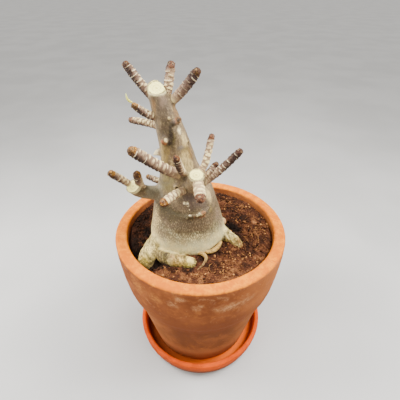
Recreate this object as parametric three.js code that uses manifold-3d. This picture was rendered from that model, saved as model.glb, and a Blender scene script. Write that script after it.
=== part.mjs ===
// A potted desert rose: a swollen grey stem with pruned branches, in coir, in a terracotta pot on a saucer.
// Millimetres, Z up. The origin is the middle of the saucer's underside, and the plant's front is towards -Y.
import * as THREE from "three";
import { mergeVertices } from "three/addons/utils/BufferGeometryUtils.js";
import Module from "manifold-3d";

const wasm = await Module();
wasm.setup();

// Driving dimensions
const clearance = 0.35; // between pieces that rest on each other
const turnedSides = 52; // facets round the pot and the saucer
const scarRelief = 0.075; // how far a shoot's ringed scars stand out, as a share of its thickness

const saucer = {
  height: 23,
  footRadius: 70,
  rimRadius: 74.5,
  wall: 5.6,
  floor: 7.5,
  footEdge: 1.5, // the bevel round the foot
  hollowEdge: 3, // the bevel inside, where the floor meets the wall
  rounding: 2.2,
  innerRounding: 1.5,
};

const pot = {
  height: 157,
  rimRadius: 85,
  lip: 11.5, // how broad the flat top of the rim is
  rounding: 3.6,
  innerRounding: 2,
  collarDrop: 62, // from the rim's top to the collar's lower edge
  collarRadius: 80,
  shoulderDrop: 80, // to where the body starts below the collar
  shoulderRadius: 73,
  creaseDepth: 0.5, // of the line where the collar's shoulder meets the body
  footRadius: 58,
  footEdge: 2, // the bevel round the foot
  floor: 11,
  wall: 9,
  drainRadius: 11,
};
const potBase = saucer.floor + clearance;
const rimTop = potBase + pot.height;

const soil = {
  level: rimTop - 5.5, // near the pot's wall
  edgeDrop: 0.8, // how much lower it lies at the wall itself
  bottomGap: 1.5, // from the plug in the drain hole to the saucer's side of it
  mound: 1.6, // how much higher it lies towards the middle
  grain: 0.7, // height of the crumbs' relief
  rings: 10,
  // Round places that lie lower, or higher where the depth is below zero
  hollows: [
    { at: [27, 3], breadth: 6, depth: 4 },
    { at: [39, -2], breadth: 6, depth: 3 },
    { at: [-36, -46], breadth: 5, depth: 2.5 },
    { at: [28, -38], breadth: 14, depth: -1.2 },
  ],
};

// The stem's axis, each point with the stem's thickness there
const trunk = {
  path: [
    [-13, 2, 108], [-13, 2, 128], [-13, 1.5, 146], [-14, 1, 162], [-13.3, 1, 187], [-14.4, 1, 210],
    [-18.6, 2, 230], [-21, 2, 250], [-25.4, 2, 270], [-31, 2, 290], [-38, 2, 311],
  ],
  thick: [8, 38, 70, 72, 65.5, 49.5, 35.5, 28, 23.8, 18, 9.6],
  // Where it bulges over roots and under branches: the direction in radians, and the place along the path
  swellings: [
    { towards: -2.3, breadth: 0.5, at: 3.1, tall: 0.8, amount: 0.09 },
    { towards: -0.35, breadth: 0.45, at: 3, tall: 0.8, amount: 0.07 },
    { towards: 2, breadth: 0.5, at: 3, tall: 0.8, amount: 0.08 },
    { towards: -1.1, breadth: 0.6, at: 5.2, tall: 0.9, amount: 0.16 },
    { towards: -2.9, breadth: 0.5, at: 5, tall: 0.7, amount: 0.1 },
  ],
  sides: 32,
  steps: 32,
};
const topCut = { at: [-33.5, 1, 301.5], slope: 31 }; // degrees, tilted towards the front

// Roots that show above the coir, and those under it
const roots = [
  {
    path: [[-26, -4, 163], [-38, -16, 163], [-45, -30, 160.5], [-49.5, -40.5, 156.5], [-49, -44, 146]],
    thick: [24, 20, 17.5, 13.5, 8],
  },
  {
    path: [[-36, -22, 159], [-36.5, -34.5, 158], [-26, -41.5, 158.5], [-13, -44.5, 158.5], [-5, -46, 157.5]],
    thick: [12, 13, 12.5, 12, 10],
  },
  {
    path: [[8, 2, 160], [20, -4, 162.5], [29, -13, 162], [38, -24, 160], [43, -31, 151]],
    thick: [26, 19, 13, 9.5, 5],
  },
  { path: [[-22, 28, 166], [-28, 38, 162], [-33, 47, 158], [-36, 53, 148]], thick: [18, 12.5, 9.5, 5] },
  { path: [[-4, 8, 136], [14, 20, 112], [22, 32, 84]], thick: [22, 13, 4], sides: 7 },
  { path: [[-20, 0, 134], [-25, -4, 108], [-26, -16, 76]], thick: [24, 14, 4], sides: 7 },
];
const rootlet = {
  path: [[-3, -32, 162], [2.5, -36.5, 163], [5.5, -42.5, 162], [2, -49.5, 161], [-4, -55.5, 159]],
  thick: [3, 2.6, 2.3, 2, 1.4],
  sides: 7,
};
const skinFlap = {
  path: [[3, -31, 162], [10, -30.5, 161.6], [16, -25.5, 161.6], [21, -17, 162.5]],
  thick: [4, 6.4, 6, 3.2],
};

// The two side branches that were cut back, each ending in a flat face
const cutBranches = [
  {
    path: [[-7, -4, 203], [-6, -14, 219], [-3.8, -23, 232], [-2.6, -28, 240.5]],
    thick: [23, 18.5, 15, 12.6],
  },
  {
    path: [[-24, 0, 208], [-38, -8, 211.5], [-48.5, -17, 219], [-54.5, -22.5, 229]],
    thick: [18, 12.4, 12, 12.4],
  },
];

// Short shoots of the last years, ringed by old leaf scars: where each springs from, and its tip
const shoots = [
  { path: [[-33, 2, 289], [-43.5, 4, 301], [-54.5, 7, 315.5]], thick: [6.4, 6.3, 6], rings: 10 },
  { path: [[-28, 4, 290], [-24.5, 9, 298], [-23.6, 15, 315]], thick: [7.4, 6.6, 6], rings: 8 },
  { path: [[-25, 3, 288], [-14.5, 2.5, 298], [-2.5, 3, 312.5]], thick: [7.4, 8, 7.4], rings: 11 },
  { path: [[-29, 1, 278], [-40, -4, 282], [-50.5, -9, 291]], thick: [5.8, 5, 4.3], rings: 6 },
  { path: [[-26, 3, 267.5], [-41, 8, 270.5], [-58.5, 13, 271.5]], thick: [5.4, 4.7, 4.2], rings: 7 },
  { path: [[-13, -8, 227], [-31, -21, 244], [-51.5, -29, 262.8]], thick: [9.4, 8.6, 8], rings: 16 },
  { path: [[-13, -9, 230], [-15.5, -22, 241.5], [-18.8, -32, 258.5]], thick: [5.8, 5.8, 5.6], rings: 8 },
  { path: [[-3, -24, 232], [-1.6, -35, 233], [0.2, -50, 234.5]], thick: [8.8, 8.6, 9.2], rings: 6 },
  { path: [[-2, -21, 236], [4.5, -17, 245], [9.4, -8, 266]], thick: [5.4, 5, 4.6], rings: 11 },
  { path: [[-1, -22, 233], [6, -20, 237.5], [13, -16, 244.5]], thick: [5, 5, 4.6], rings: 6 },
  { path: [[-2, -22, 227], [13, -20, 238], [31.5, -18, 257]], thick: [6.4, 5.8, 5], rings: 15 },
  { path: [[-55, -21, 223], [-62, -26, 233], [-69.5, -33, 245]], thick: [6, 5.2, 4.8], rings: 7 },
  { path: [[-49, -17, 219], [-52.6, -21, 229], [-52, -27, 241]], thick: [6.4, 5.8, 5.4], rings: 6 },
  { path: [[-27, 5, 209], [-39, 8, 213], [-50.5, 13, 214.5]], thick: [5.4, 4.8, 4.2], rings: 6 },
  { path: [[-11, -15, 220], [-19.5, -28, 223.5], [-28.5, -41, 223.5]], thick: [8.4, 7.4, 7], rings: 8 },
  { path: [[-23, 8, 255], [-28, 18, 257], [-33, 28, 262]], thick: [6, 5.2, 4.6], rings: 8 },
  { path: [[-15, 12, 211], [-18, 27, 215], [-20, 38, 224]], thick: [7.4, 6.2, 5.6], rings: 9 },
];

// Low knobs left by buds and old cuts
const knobs = [
  { at: [-34.4, 0, 246], size: 3.1 },
  { at: [-27.9, -8.7, 262.6], size: 2.6 },
  { at: [-22, -6.8, 277.4], size: 2.8 },
  { at: [-18, -3.4, 277.6], size: 2.3 },
  { at: [-12.6, -25, 209], size: 2.8 },
  { at: [-20.6, -18.4, 223], size: 2.2 },
  { at: [-19.9, -34, 259.4], size: 2.1 },
];
const soilKnob = { at: [23, 9, 162.5], size: 4.2 }; // half buried, at the foot of the stem
const scarRidge = {
  path: [[-11, -25, 203.5], [-4.5, -26.6, 201.6], [3, -24.8, 199]],
  thick: [3, 5.6, 3],
  sides: 7,
};

// The one young leaf, folded along its middle, on the tip of the fourth shoot
const leaf = {
  path: [[-51.4, -9.8, 293.2], [-53, -10.4, 294.2], [-54.4, -11, 296.6], [-54.6, -11.4, 300]],
  broad: [1.3, 1.9, 1.7, 0.7],
  thick: 1,
};

const colours = {
  terracotta: { color: 0xb9744a, roughness: 0.85 },
  saucerClay: { color: 0xd56a35, roughness: 0.7 },
  coir: { color: 0x53301f, roughness: 1 },
  bark: { color: 0xa39480, roughness: 0.7 },
  youngLeaf: { color: 0xbec458, roughness: 0.5 },
};

// A value at t from 0 to 1 on a smooth line through evenly spaced values
function smoothThrough(values) {
  const curve = new THREE.CatmullRomCurve3(values.map((v, i) => new THREE.Vector3(v, i, 0)));
  return (t) => curve.getPoint(t).x;
}

function geometryOf(corners, faces) {
  const geometry = new THREE.BufferGeometry();
  geometry.setAttribute("position", new THREE.Float32BufferAttribute(corners.flat(), 3));
  geometry.setIndex(faces.flat());
  return geometry;
}

function solidFrom(geometry) {
  const bare = geometry.clone();
  bare.deleteAttribute("normal");
  bare.deleteAttribute("uv");
  const merged = mergeVertices(bare, 1e-3);
  return new wasm.Manifold(
    new wasm.Mesh({
      numProp: 3,
      vertProperties: new Float32Array(merged.attributes.position.array),
      triVerts: new Uint32Array(merged.index.array),
    }),
  );
}

function meshFrom(solid, name, look) {
  const { vertProperties, triVerts } = solid.getMesh();
  const geometry = new THREE.BufferGeometry();
  geometry.setAttribute("position", new THREE.BufferAttribute(vertProperties, 3));
  geometry.setIndex(new THREE.BufferAttribute(triVerts, 1));
  geometry.computeVertexNormals();
  const mesh = new THREE.Mesh(geometry, new THREE.MeshStandardMaterial({ metalness: 0, ...look }));
  mesh.name = name;
  return mesh;
}

// A body of revolution about Z, from a closed outline of [radius, height] points
function turned(outline, sides = turnedSides) {
  const points = outline.map(([r, z]) => new THREE.Vector2(r, z));
  return new THREE.LatheGeometry(points, sides).rotateX(Math.PI / 2);
}

// Points of a quarter round from one angle to another, in degrees
function round(r, z, radius, from, to, steps = 3) {
  return Array.from({ length: steps + 1 }, (_, i) => {
    const angle = THREE.MathUtils.degToRad(from + ((to - from) * i) / steps);
    return [r + radius * Math.cos(angle), z + radius * Math.sin(angle)];
  });
}

// A closed tube with a cap at each end. shape(t, angle) scales its section, and grow thickens it all over
function limb({ path, thick, sides = 8, steps, rings = 0, shape = () => 1, blunt = true }, grow = 0) {
  const curve = new THREE.CatmullRomCurve3(path.map((p) => new THREE.Vector3(...p)));
  const diameter = smoothThrough(thick);
  const count = steps ?? (rings ? rings * 2 : (path.length - 1) * 3);
  const relief = rings ? scarRelief : 0;
  const corners = [];
  const faces = [];
  let normal = new THREE.Vector3(1, 0, 0);
  if (Math.abs(curve.getTangent(0).x) > 0.8) normal = new THREE.Vector3(0, 0, 1);
  const addRing = (centre, tangent, radiusAt) => {
    normal.addScaledVector(tangent, -normal.dot(tangent)).normalize();
    const across = new THREE.Vector3().crossVectors(tangent, normal);
    for (let k = 0; k < sides; k++) {
      const angle = (2 * Math.PI * k) / sides;
      const r = radiusAt(angle) + grow;
      const p = centre.clone();
      p.addScaledVector(normal, r * Math.cos(angle)).addScaledVector(across, r * Math.sin(angle));
      corners.push(p.toArray());
    }
  };
  for (let i = 0; i <= count; i++) {
    const t = i / count;
    const ridge = 1 + (i % 2 ? relief : -relief);
    addRing(curve.getPoint(t), curve.getTangent(t), (a) => (diameter(t) / 2) * ridge * shape(t, a));
  }
  const end = curve.getPoint(1);
  const ahead = curve.getTangent(1);
  const tipRadius = thick.at(-1) / 2;
  let reach = grow;
  if (blunt) {
    addRing(end.clone().addScaledVector(ahead, 0.5 * tipRadius + grow), ahead, () => 0.66 * tipRadius);
    reach += 0.72 * tipRadius;
  }
  const ringCount = corners.length / sides;
  const start = corners.push(curve.getPoint(0).addScaledVector(curve.getTangent(0), -grow).toArray()) - 1;
  const tip = corners.push(end.clone().addScaledVector(ahead, reach).toArray()) - 1;
  for (let k = 0; k < sides; k++) {
    const next = (k + 1) % sides;
    for (let i = 0; i + 1 < ringCount; i++) {
      const [a, b, c, d] = [i * sides + k, i * sides + next, (i + 1) * sides + next, (i + 1) * sides + k];
      faces.push([a, b, c], [a, c, d]);
    }
    const last = (ringCount - 1) * sides;
    faces.push([start, next, k], [tip, last + k, last + next]);
  }
  return geometryOf(corners, faces);
}

// The swollen stem's section is not round: it has its swellings, and is a little uneven
function stemSection(t, angle) {
  const place = t * (trunk.path.length - 1);
  let scale = 1 + 0.014 * Math.sin(3 * angle + 2.2 * place) + 0.01 * Math.sin(7 * angle - place);
  for (const { towards, breadth, at, tall, amount } of trunk.swellings) {
    const turn = Math.atan2(Math.sin(angle - towards), Math.cos(angle - towards));
    scale += amount * Math.exp(-((turn / breadth) ** 2) - ((place - at) / tall) ** 2);
  }
  return scale;
}

// The coir's height at a place: higher in the middle, crumbly, with its hollows
function soilHeight(x, y) {
  const r = Math.hypot(x, y) / (pot.rimRadius - pot.lip);
  const crumbs = Math.sin(0.9 * x + 1.7 * Math.sin(0.5 * y)) * Math.sin(0.8 * y + 1.3 * Math.sin(0.6 * x));
  let height = soil.level + soil.mound * (1 - r * r) + soil.grain * crumbs;
  for (const { at, breadth, depth } of soil.hollows)
    height -= depth * Math.exp(-((x - at[0]) ** 2 + (y - at[1]) ** 2) / breadth ** 2);
  return height;
}

function makeSaucer() {
  const { height, footRadius, footEdge, rimRadius, wall, floor, hollowEdge } = saucer;
  const { rounding, innerRounding } = saucer;
  const innerRim = rimRadius - wall;
  const outline = [
    [0, 0],
    [footRadius - footEdge, 0],
    [footRadius, footEdge],
    [rimRadius - 0.8, height * 0.62],
    ...round(rimRadius - rounding, height - rounding, rounding, 0, 90),
    ...round(innerRim + innerRounding, height - innerRounding, innerRounding, 90, 180),
    [footRadius - wall + hollowEdge * 0.7, floor + hollowEdge],
    [footRadius - wall, floor],
    [0, floor],
  ];
  return meshFrom(solidFrom(turned(outline)), "saucer", colours.saucerClay);
}

// The outer side from the foot up to the rim, then the inner side down to the floor
function potOutline() {
  const { rimRadius, collarRadius, shoulderRadius, footRadius, footEdge, creaseDepth } = pot;
  const { height, rounding, innerRounding } = pot;
  const inner = rimRadius - pot.lip;
  const collar = height - pot.collarDrop;
  const shoulder = height - pot.shoulderDrop;
  return [
    [pot.drainRadius, 0],
    [footRadius - footEdge, 0],
    [footRadius, footEdge],
    [shoulderRadius - creaseDepth, shoulder - 2],
    [shoulderRadius + 1.2, shoulder + 2],
    [shoulderRadius + 0.65 * (collarRadius - shoulderRadius), collar - 7],
    [collarRadius, collar],
    [collarRadius + 1.4, collar + 10],
    [rimRadius - 0.4, height - 16],
    ...round(rimRadius - rounding, height - rounding, rounding, 0, 90),
    ...round(inner + innerRounding, height - innerRounding, innerRounding, 90, 180, 2),
    ...potCavity(),
  ];
}

// The pot's inner side from below the lip down to the floor, where it turns with a bevel
function potCavity() {
  const inner = pot.rimRadius - pot.lip;
  const foot = pot.footRadius - pot.wall;
  const bevel = 7;
  return [
    [inner - 0.6, pot.height - 14],
    [inner - 4, pot.height - pot.collarDrop],
    [foot + 3, pot.floor + bevel],
    [foot + 3 - bevel, pot.floor],
    [pot.drainRadius, pot.floor],
  ];
}

function makePot() {
  const outline = potOutline();
  const geometry = turned([...outline, outline[0]]).translate(0, 0, potBase);
  return meshFrom(solidFrom(geometry), "pot", colours.terracotta);
}

// Everything of the plant that stands in the coir, which is also cut out of the coir a little larger
function buriedParts(grow = 0) {
  const stem = solidFrom(limb({ ...trunk, shape: stemSection }, grow));
  const parts = roots.map((root) => solidFrom(limb({ ...root, shape: knotted }, grow)));
  parts.push(solidFrom(limb(rootlet, grow)));
  parts.push(solidFrom(limb({ ...skinFlap, shape: flattened }, grow)));
  parts.push(solidFrom(knob(soilKnob, grow)));
  return parts.reduce((whole, part) => whole.add(part), stem);
}

function knotted(t, angle) {
  return 1 + 0.05 * Math.sin(5 * angle + 9 * t) + 0.04 * Math.sin(14 * t + 2 * angle);
}

function flattened(t, angle) {
  return 0.62 + 0.38 * Math.abs(Math.sin(angle + 0.9));
}

function knob({ at, size }, grow = 0) {
  const ball = new THREE.SphereGeometry(size + grow, 9, 6);
  return ball.translate(...at);
}

function makePlant() {
  const slab = new THREE.BoxGeometry(80, 80, 40).translate(0, 0, 20);
  slab.rotateX(THREE.MathUtils.degToRad(topCut.slope)).translate(...topCut.at);
  let plant = buriedParts().subtract(solidFrom(slab));
  const flatEnded = { sides: 14, blunt: false };
  for (const branch of cutBranches) plant = plant.add(solidFrom(limb({ ...branch, ...flatEnded })));
  for (const shoot of shoots) plant = plant.add(solidFrom(limb(shoot)));
  for (const one of knobs) plant = plant.add(solidFrom(knob(one)));
  plant = plant.add(solidFrom(limb(scarRidge)));
  return meshFrom(plant, "caudex_and_stems", colours.bark);
}

// Coir fills the pot, drain hole included, up to an uneven top
function makeSoil() {
  const sides = turnedSides;
  const { rings, bottomGap, edgeDrop } = soil;
  const plug = pot.drainRadius - clearance;
  const edge = potCavity()[0][0] - clearance;
  const lifted = pot.floor + clearance;
  const rows = [];
  for (let i = 1; i < rings; i++) rows.push({ r: (edge * i) / rings, height: soilHeight });
  rows.push({ r: edge, height: () => soil.level - edgeDrop });
  for (const [r, z] of potCavity().slice(0, -1)) {
    const height = potBase + Math.max(z, lifted);
    rows.push({ r: r - clearance, height: () => height });
  }
  rows.push({ r: plug, height: () => potBase + lifted }, { r: plug, height: () => potBase + bottomGap });

  const corners = [[0, 0, soilHeight(0, 0)]];
  const faces = [];
  rows.forEach(({ r, height }, i) => {
    for (let k = 0; k < sides; k++) {
      const angle = (2 * Math.PI * (k + (Math.min(i, rings) % 2) / 2)) / sides;
      const [x, y] = [r * Math.cos(angle), r * Math.sin(angle)];
      corners.push([x, y, height(x, y)]);
    }
  });
  const bottom = corners.push([0, 0, potBase + bottomGap]) - 1;
  for (let k = 0; k < sides; k++) {
    const next = (k + 1) % sides;
    faces.push([0, 1 + k, 1 + next]);
    for (let i = 0; i + 1 < rows.length; i++) {
      const [a, b] = [1 + i * sides + k, 1 + i * sides + next];
      faces.push([a, b + sides, b], [a, a + sides, b + sides]);
    }
    faces.push([bottom, bottom - sides + next, bottom - sides + k]);
  }
  const filled = solidFrom(geometryOf(corners, faces));
  return meshFrom(filled.subtract(buriedParts(clearance)), "soil", colours.coir);
}

function makeLeaf() {
  const folded = (t, angle) => leaf.thick / 1.9 + (1 - leaf.thick / 1.9) * Math.abs(Math.cos(angle));
  const geometry = limb({ path: leaf.path, thick: leaf.broad, sides: 8, steps: 9, shape: folded });
  return meshFrom(solidFrom(geometry), "young_leaf", colours.youngLeaf);
}

const group = new THREE.Group();
group.add(makeSaucer(), makePot(), makeSoil(), makePlant(), makeLeaf());
export default group;
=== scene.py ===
import math
from functools import partial

import bmesh
import bpy
import numpy as np
import openvdb
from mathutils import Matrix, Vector


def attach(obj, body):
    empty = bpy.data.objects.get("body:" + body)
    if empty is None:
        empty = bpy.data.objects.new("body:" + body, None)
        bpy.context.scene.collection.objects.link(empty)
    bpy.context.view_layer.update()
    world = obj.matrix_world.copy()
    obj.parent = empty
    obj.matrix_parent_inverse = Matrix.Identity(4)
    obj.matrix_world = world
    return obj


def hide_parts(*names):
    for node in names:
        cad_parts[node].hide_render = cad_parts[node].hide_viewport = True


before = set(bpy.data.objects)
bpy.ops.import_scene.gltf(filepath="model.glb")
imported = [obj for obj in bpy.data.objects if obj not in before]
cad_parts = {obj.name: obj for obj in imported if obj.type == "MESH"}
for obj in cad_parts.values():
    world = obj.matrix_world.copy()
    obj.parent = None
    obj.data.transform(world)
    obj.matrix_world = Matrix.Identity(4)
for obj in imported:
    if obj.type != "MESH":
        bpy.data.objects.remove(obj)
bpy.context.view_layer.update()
print("frame loaded")

mm = 0.001  # every size below is in millimetres, in the frame of the solids
golden = math.pi * (3 - math.sqrt(5))  # the turn from one leaf scar to the next


# Curves, noise and blends

def curveThrough(points, places):
    # smooth line through the points, at places from 0 to 1
    p = np.asarray(points, float)
    last = len(p) - 2
    p = np.vstack([2 * p[0] - p[1], p, 2 * p[-1] - p[-2]])
    at = np.clip(np.asarray(places, float), 0, 1) * (last + 1)
    i = np.minimum(at.astype(int), last)
    w = (at - i)[:, None]
    a, b, c, d = p[i], p[i + 1], p[i + 2], p[i + 3]
    spans = (a, b), (b, c), (c, d)
    ab, bc, cd = [np.maximum(((u - v) ** 2).sum(1) ** 0.25, 1e-4)[:, None] for u, v in spans]
    start = ((b - a) / ab - (c - a) / (ab + bc) + (c - b) / bc) * bc
    end = ((c - b) / bc - (d - b) / (bc + cd) + (d - c) / cd) * bc
    square = 3 * (c - b) - 2 * start - end
    cube = 2 * (b - c) + start + end
    return b + start * w + square * w ** 2 + cube * w ** 3


def valuesThrough(values, places):
    return curveThrough([[v, i] for i, v in enumerate(values)], places)[:, 0]


def smoothStep(low, high, x):
    t = np.clip((x - low) / (high - low), 0, 1)
    return t * t * (3 - 2 * t)


def turnBetween(angle, towards):
    return np.arctan2(np.sin(angle - towards), np.cos(angle - towards))


def softMin(a, b, softness):
    h = np.clip(0.5 + 0.5 * (b - a) / softness, 0, 1)
    return b * (1 - h) + a * h - softness * h * (1 - h)


def softMax(a, b, softness):
    return -softMin(-a, -b, softness)


def unevenness(points, size, seed, octaves=1):
    # smooth random values between about -1 and 1, which change over that size
    table = np.random.default_rng(seed).uniform(-1, 1, 8192)
    total = np.zeros(len(points))
    for octave in range(octaves):
        q = np.asarray(points, float) / size * 2 ** octave + 37.7 * octave
        cell = np.floor(q).astype(np.int64)
        f = q - cell
        f = f * f * (3 - 2 * f)
        for dx, dy, dz in np.ndindex(2, 2, 2):
            cx, cy, cz = cell[:, 0] + dx, cell[:, 1] + dy, cell[:, 2] + dz
            key = (cx * 73856093 ^ cy * 19349663 ^ cz * 83492791) & 8191
            weight = np.abs(1 - dx - f[:, 0]) * np.abs(1 - dy - f[:, 1]) * np.abs(1 - dz - f[:, 2])
            total += weight * table[key] * 0.5 ** octave
    return total


def granules(xy, size, seed):
    # rounded grains on a plane: 1 on top of a grain, 0 between grains
    rng = np.random.default_rng(seed)
    shift = rng.uniform(0.1, 0.9, (64, 64, 2))
    tall = rng.uniform(0.45, 1, (64, 64))
    q = xy / size
    cell = np.floor(q).astype(int)
    best = np.zeros(len(q))
    for dx in (-1, 0, 1):
        for dy in (-1, 0, 1):
            i, j = (cell[:, 0] + dx) % 64, (cell[:, 1] + dy) % 64
            away = cell + [dx, dy] + shift[i, j] - q
            dome = np.sqrt(np.maximum(1 - (away ** 2).sum(1) / 0.62, 0))
            best = np.maximum(best, dome * tall[i, j])
    return best


# Meshes

def addObject(name, data):
    made = bpy.data.objects.new(name, data)
    bpy.context.scene.collection.objects.link(made)
    return made


def setMarks(mesh, marks):
    for mark, values in marks.items():
        layer = mesh.attributes.new(mark, "FLOAT", "POINT")
        layer.data.foreach_set("value", np.asarray(values, np.float32))


def shadeSmooth(mesh):
    mesh.polygons.foreach_set("use_smooth", [True] * len(mesh.polygons))


def newObject(name, corners, faces, marks=None):
    mesh = bpy.data.meshes.new(name)
    mesh.from_pydata((np.asarray(corners) * mm).tolist(), [], [list(map(int, f)) for f in faces])
    setMarks(mesh, marks or {})
    shadeSmooth(mesh)
    return addObject(name, mesh)


def turnOutward(made):
    b = bmesh.new()
    b.from_mesh(made.data)
    bmesh.ops.recalc_face_normals(b, faces=b.faces)
    b.to_mesh(made.data)
    b.free()


def finishPiece(piece, material, slot, *nodes):
    piece.data.materials.clear()
    piece.data.materials.append(material)
    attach(piece, "root")
    if nodes:
        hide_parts(*nodes)
    print(piece.name, len(piece.data.vertices), "points")


def ringFaces(rows, sides, closed=False):
    # quads between rows of points that each go once round
    faces = []
    for i in range(rows if closed else rows - 1):
        low, high = i * sides, (i + 1) % rows * sides
        for k in range(sides):
            n = (k + 1) % sides
            faces.append((low + k, low + n, high + n, high + k))
    return faces


def endFaces(sides, poles, rows):
    # triangles that close both ends: the end points, and where the rows next to them start
    faces = []
    for k in range(sides):
        n = (k + 1) % sides
        faces.append((poles[0], rows[0] + n, rows[0] + k))
        faces.append((poles[1], rows[1] + k, rows[1] + n))
    return faces


def sweep(line, radii, sides, relief=None):
    # closed tube along a line of points, which starts and ends in a point on the line
    line = np.asarray(line, float)
    ahead = np.gradient(line, axis=0)
    ahead /= np.linalg.norm(ahead, axis=1)[:, None]
    across = np.array([0.0, 0, 1]) if abs(ahead[0, 0]) > 0.8 else np.array([1.0, 0, 0])
    angles = 2 * math.pi * np.arange(sides) / sides
    corners = [line[:1]]
    for i, (centre, forward) in enumerate(zip(line, ahead)):
        across = across - (across @ forward) * forward
        across /= np.linalg.norm(across)
        up = np.cross(forward, across)
        r = np.broadcast_to(radii[i] if relief is None else radii[i] + relief[i], (sides,))[:, None]
        corners.append(centre + r * (np.cos(angles)[:, None] * across + np.sin(angles)[:, None] * up))
    corners.append(line[-1:] + 0.02 * ahead[-1:])
    end = 1 + len(line) * sides
    faces = [tuple(1 + v for v in f) for f in ringFaces(len(line), sides)]
    return np.vstack(corners), faces + endFaces(sides, (0, end), (1, end - sides))


def turned(name, profile, sides, uneven):
    # body of revolution about Z from [radius, height] points, closed on itself or on the axis
    profile = np.asarray(profile, float)
    angles = 2 * math.pi * np.arange(sides) / sides
    onAxis = profile[0, 0] == 0
    ring = profile[1:-1] if onAxis else profile
    r, a = np.meshgrid(ring[:, 0], angles, indexing="ij")
    r, z = uneven(r, a, np.repeat(ring[:, 1:], sides, 1))
    corners = np.stack([r * np.cos(a), r * np.sin(a), z], 2).reshape(-1, 3)
    faces = ringFaces(len(ring), sides, closed=not onAxis)
    if onAxis:
        first = len(corners)
        corners = np.vstack([corners, [[0, 0, profile[0, 1]], [0, 0, profile[-1, 1]]]])
        faces += endFaces(sides, (first, first + 1), (0, first - sides))
    return newObject(name, corners, faces)


def arc(r, z, radius, start, end, steps):
    # points on a quarter round, angles in degrees
    a = np.radians(np.linspace(start, end, steps + 1))
    return np.stack([r + radius * np.cos(a), z + radius * np.sin(a)], 1).tolist()


def between(first, last, steps):
    # the points after the first one, up to the last one
    w = np.arange(1, steps + 1)[:, None] / steps
    return (np.array(first) * (1 - w) + np.array(last) * w).tolist()


def outline(start, *parts):
    # from a start on: (points, steps) is a curve, (r, z, steps) a straight line, and six values are an arc
    points = [start]
    for part in parts:
        if len(part) == 2:
            points += curveThrough([points[-1]] + part[0], np.linspace(0, 1, part[1]))[1:].tolist()
        elif len(part) == 3:
            points += between(points[-1], part[:2], part[2])
        else:
            points += arc(*part)
    return points


# Materials

def tint(code):
    # a colour as screens show it, such as d98c5f, in the units of the renderer
    parts = [int(code[i:i + 2], 16) / 255 for i in (0, 2, 4)]
    return tuple(c / 12.92 if c < 0.04045 else ((c + 0.055) / 1.055) ** 2.4 for c in parts) + (1.0,)


class Wire:
    def __init__(self, paint, socket):
        self.paint = paint
        self.socket = socket

    def maths(self, operation, a, b=0.0):
        return self.paint.node("ShaderNodeMath", {"operation": operation}, {0: a, 1: b})

    def __add__(self, other):
        return self.maths("ADD", self, other)

    __radd__ = __add__

    def __sub__(self, other):
        return self.maths("SUBTRACT", self, other)

    def __rsub__(self, other):
        return self.maths("SUBTRACT", other, self)

    def __mul__(self, other):
        return self.maths("MULTIPLY", self, other)

    __rmul__ = __mul__

    def put(self, operation):
        # an operation on one value, such as SINE
        return self.maths(operation, self)


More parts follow.
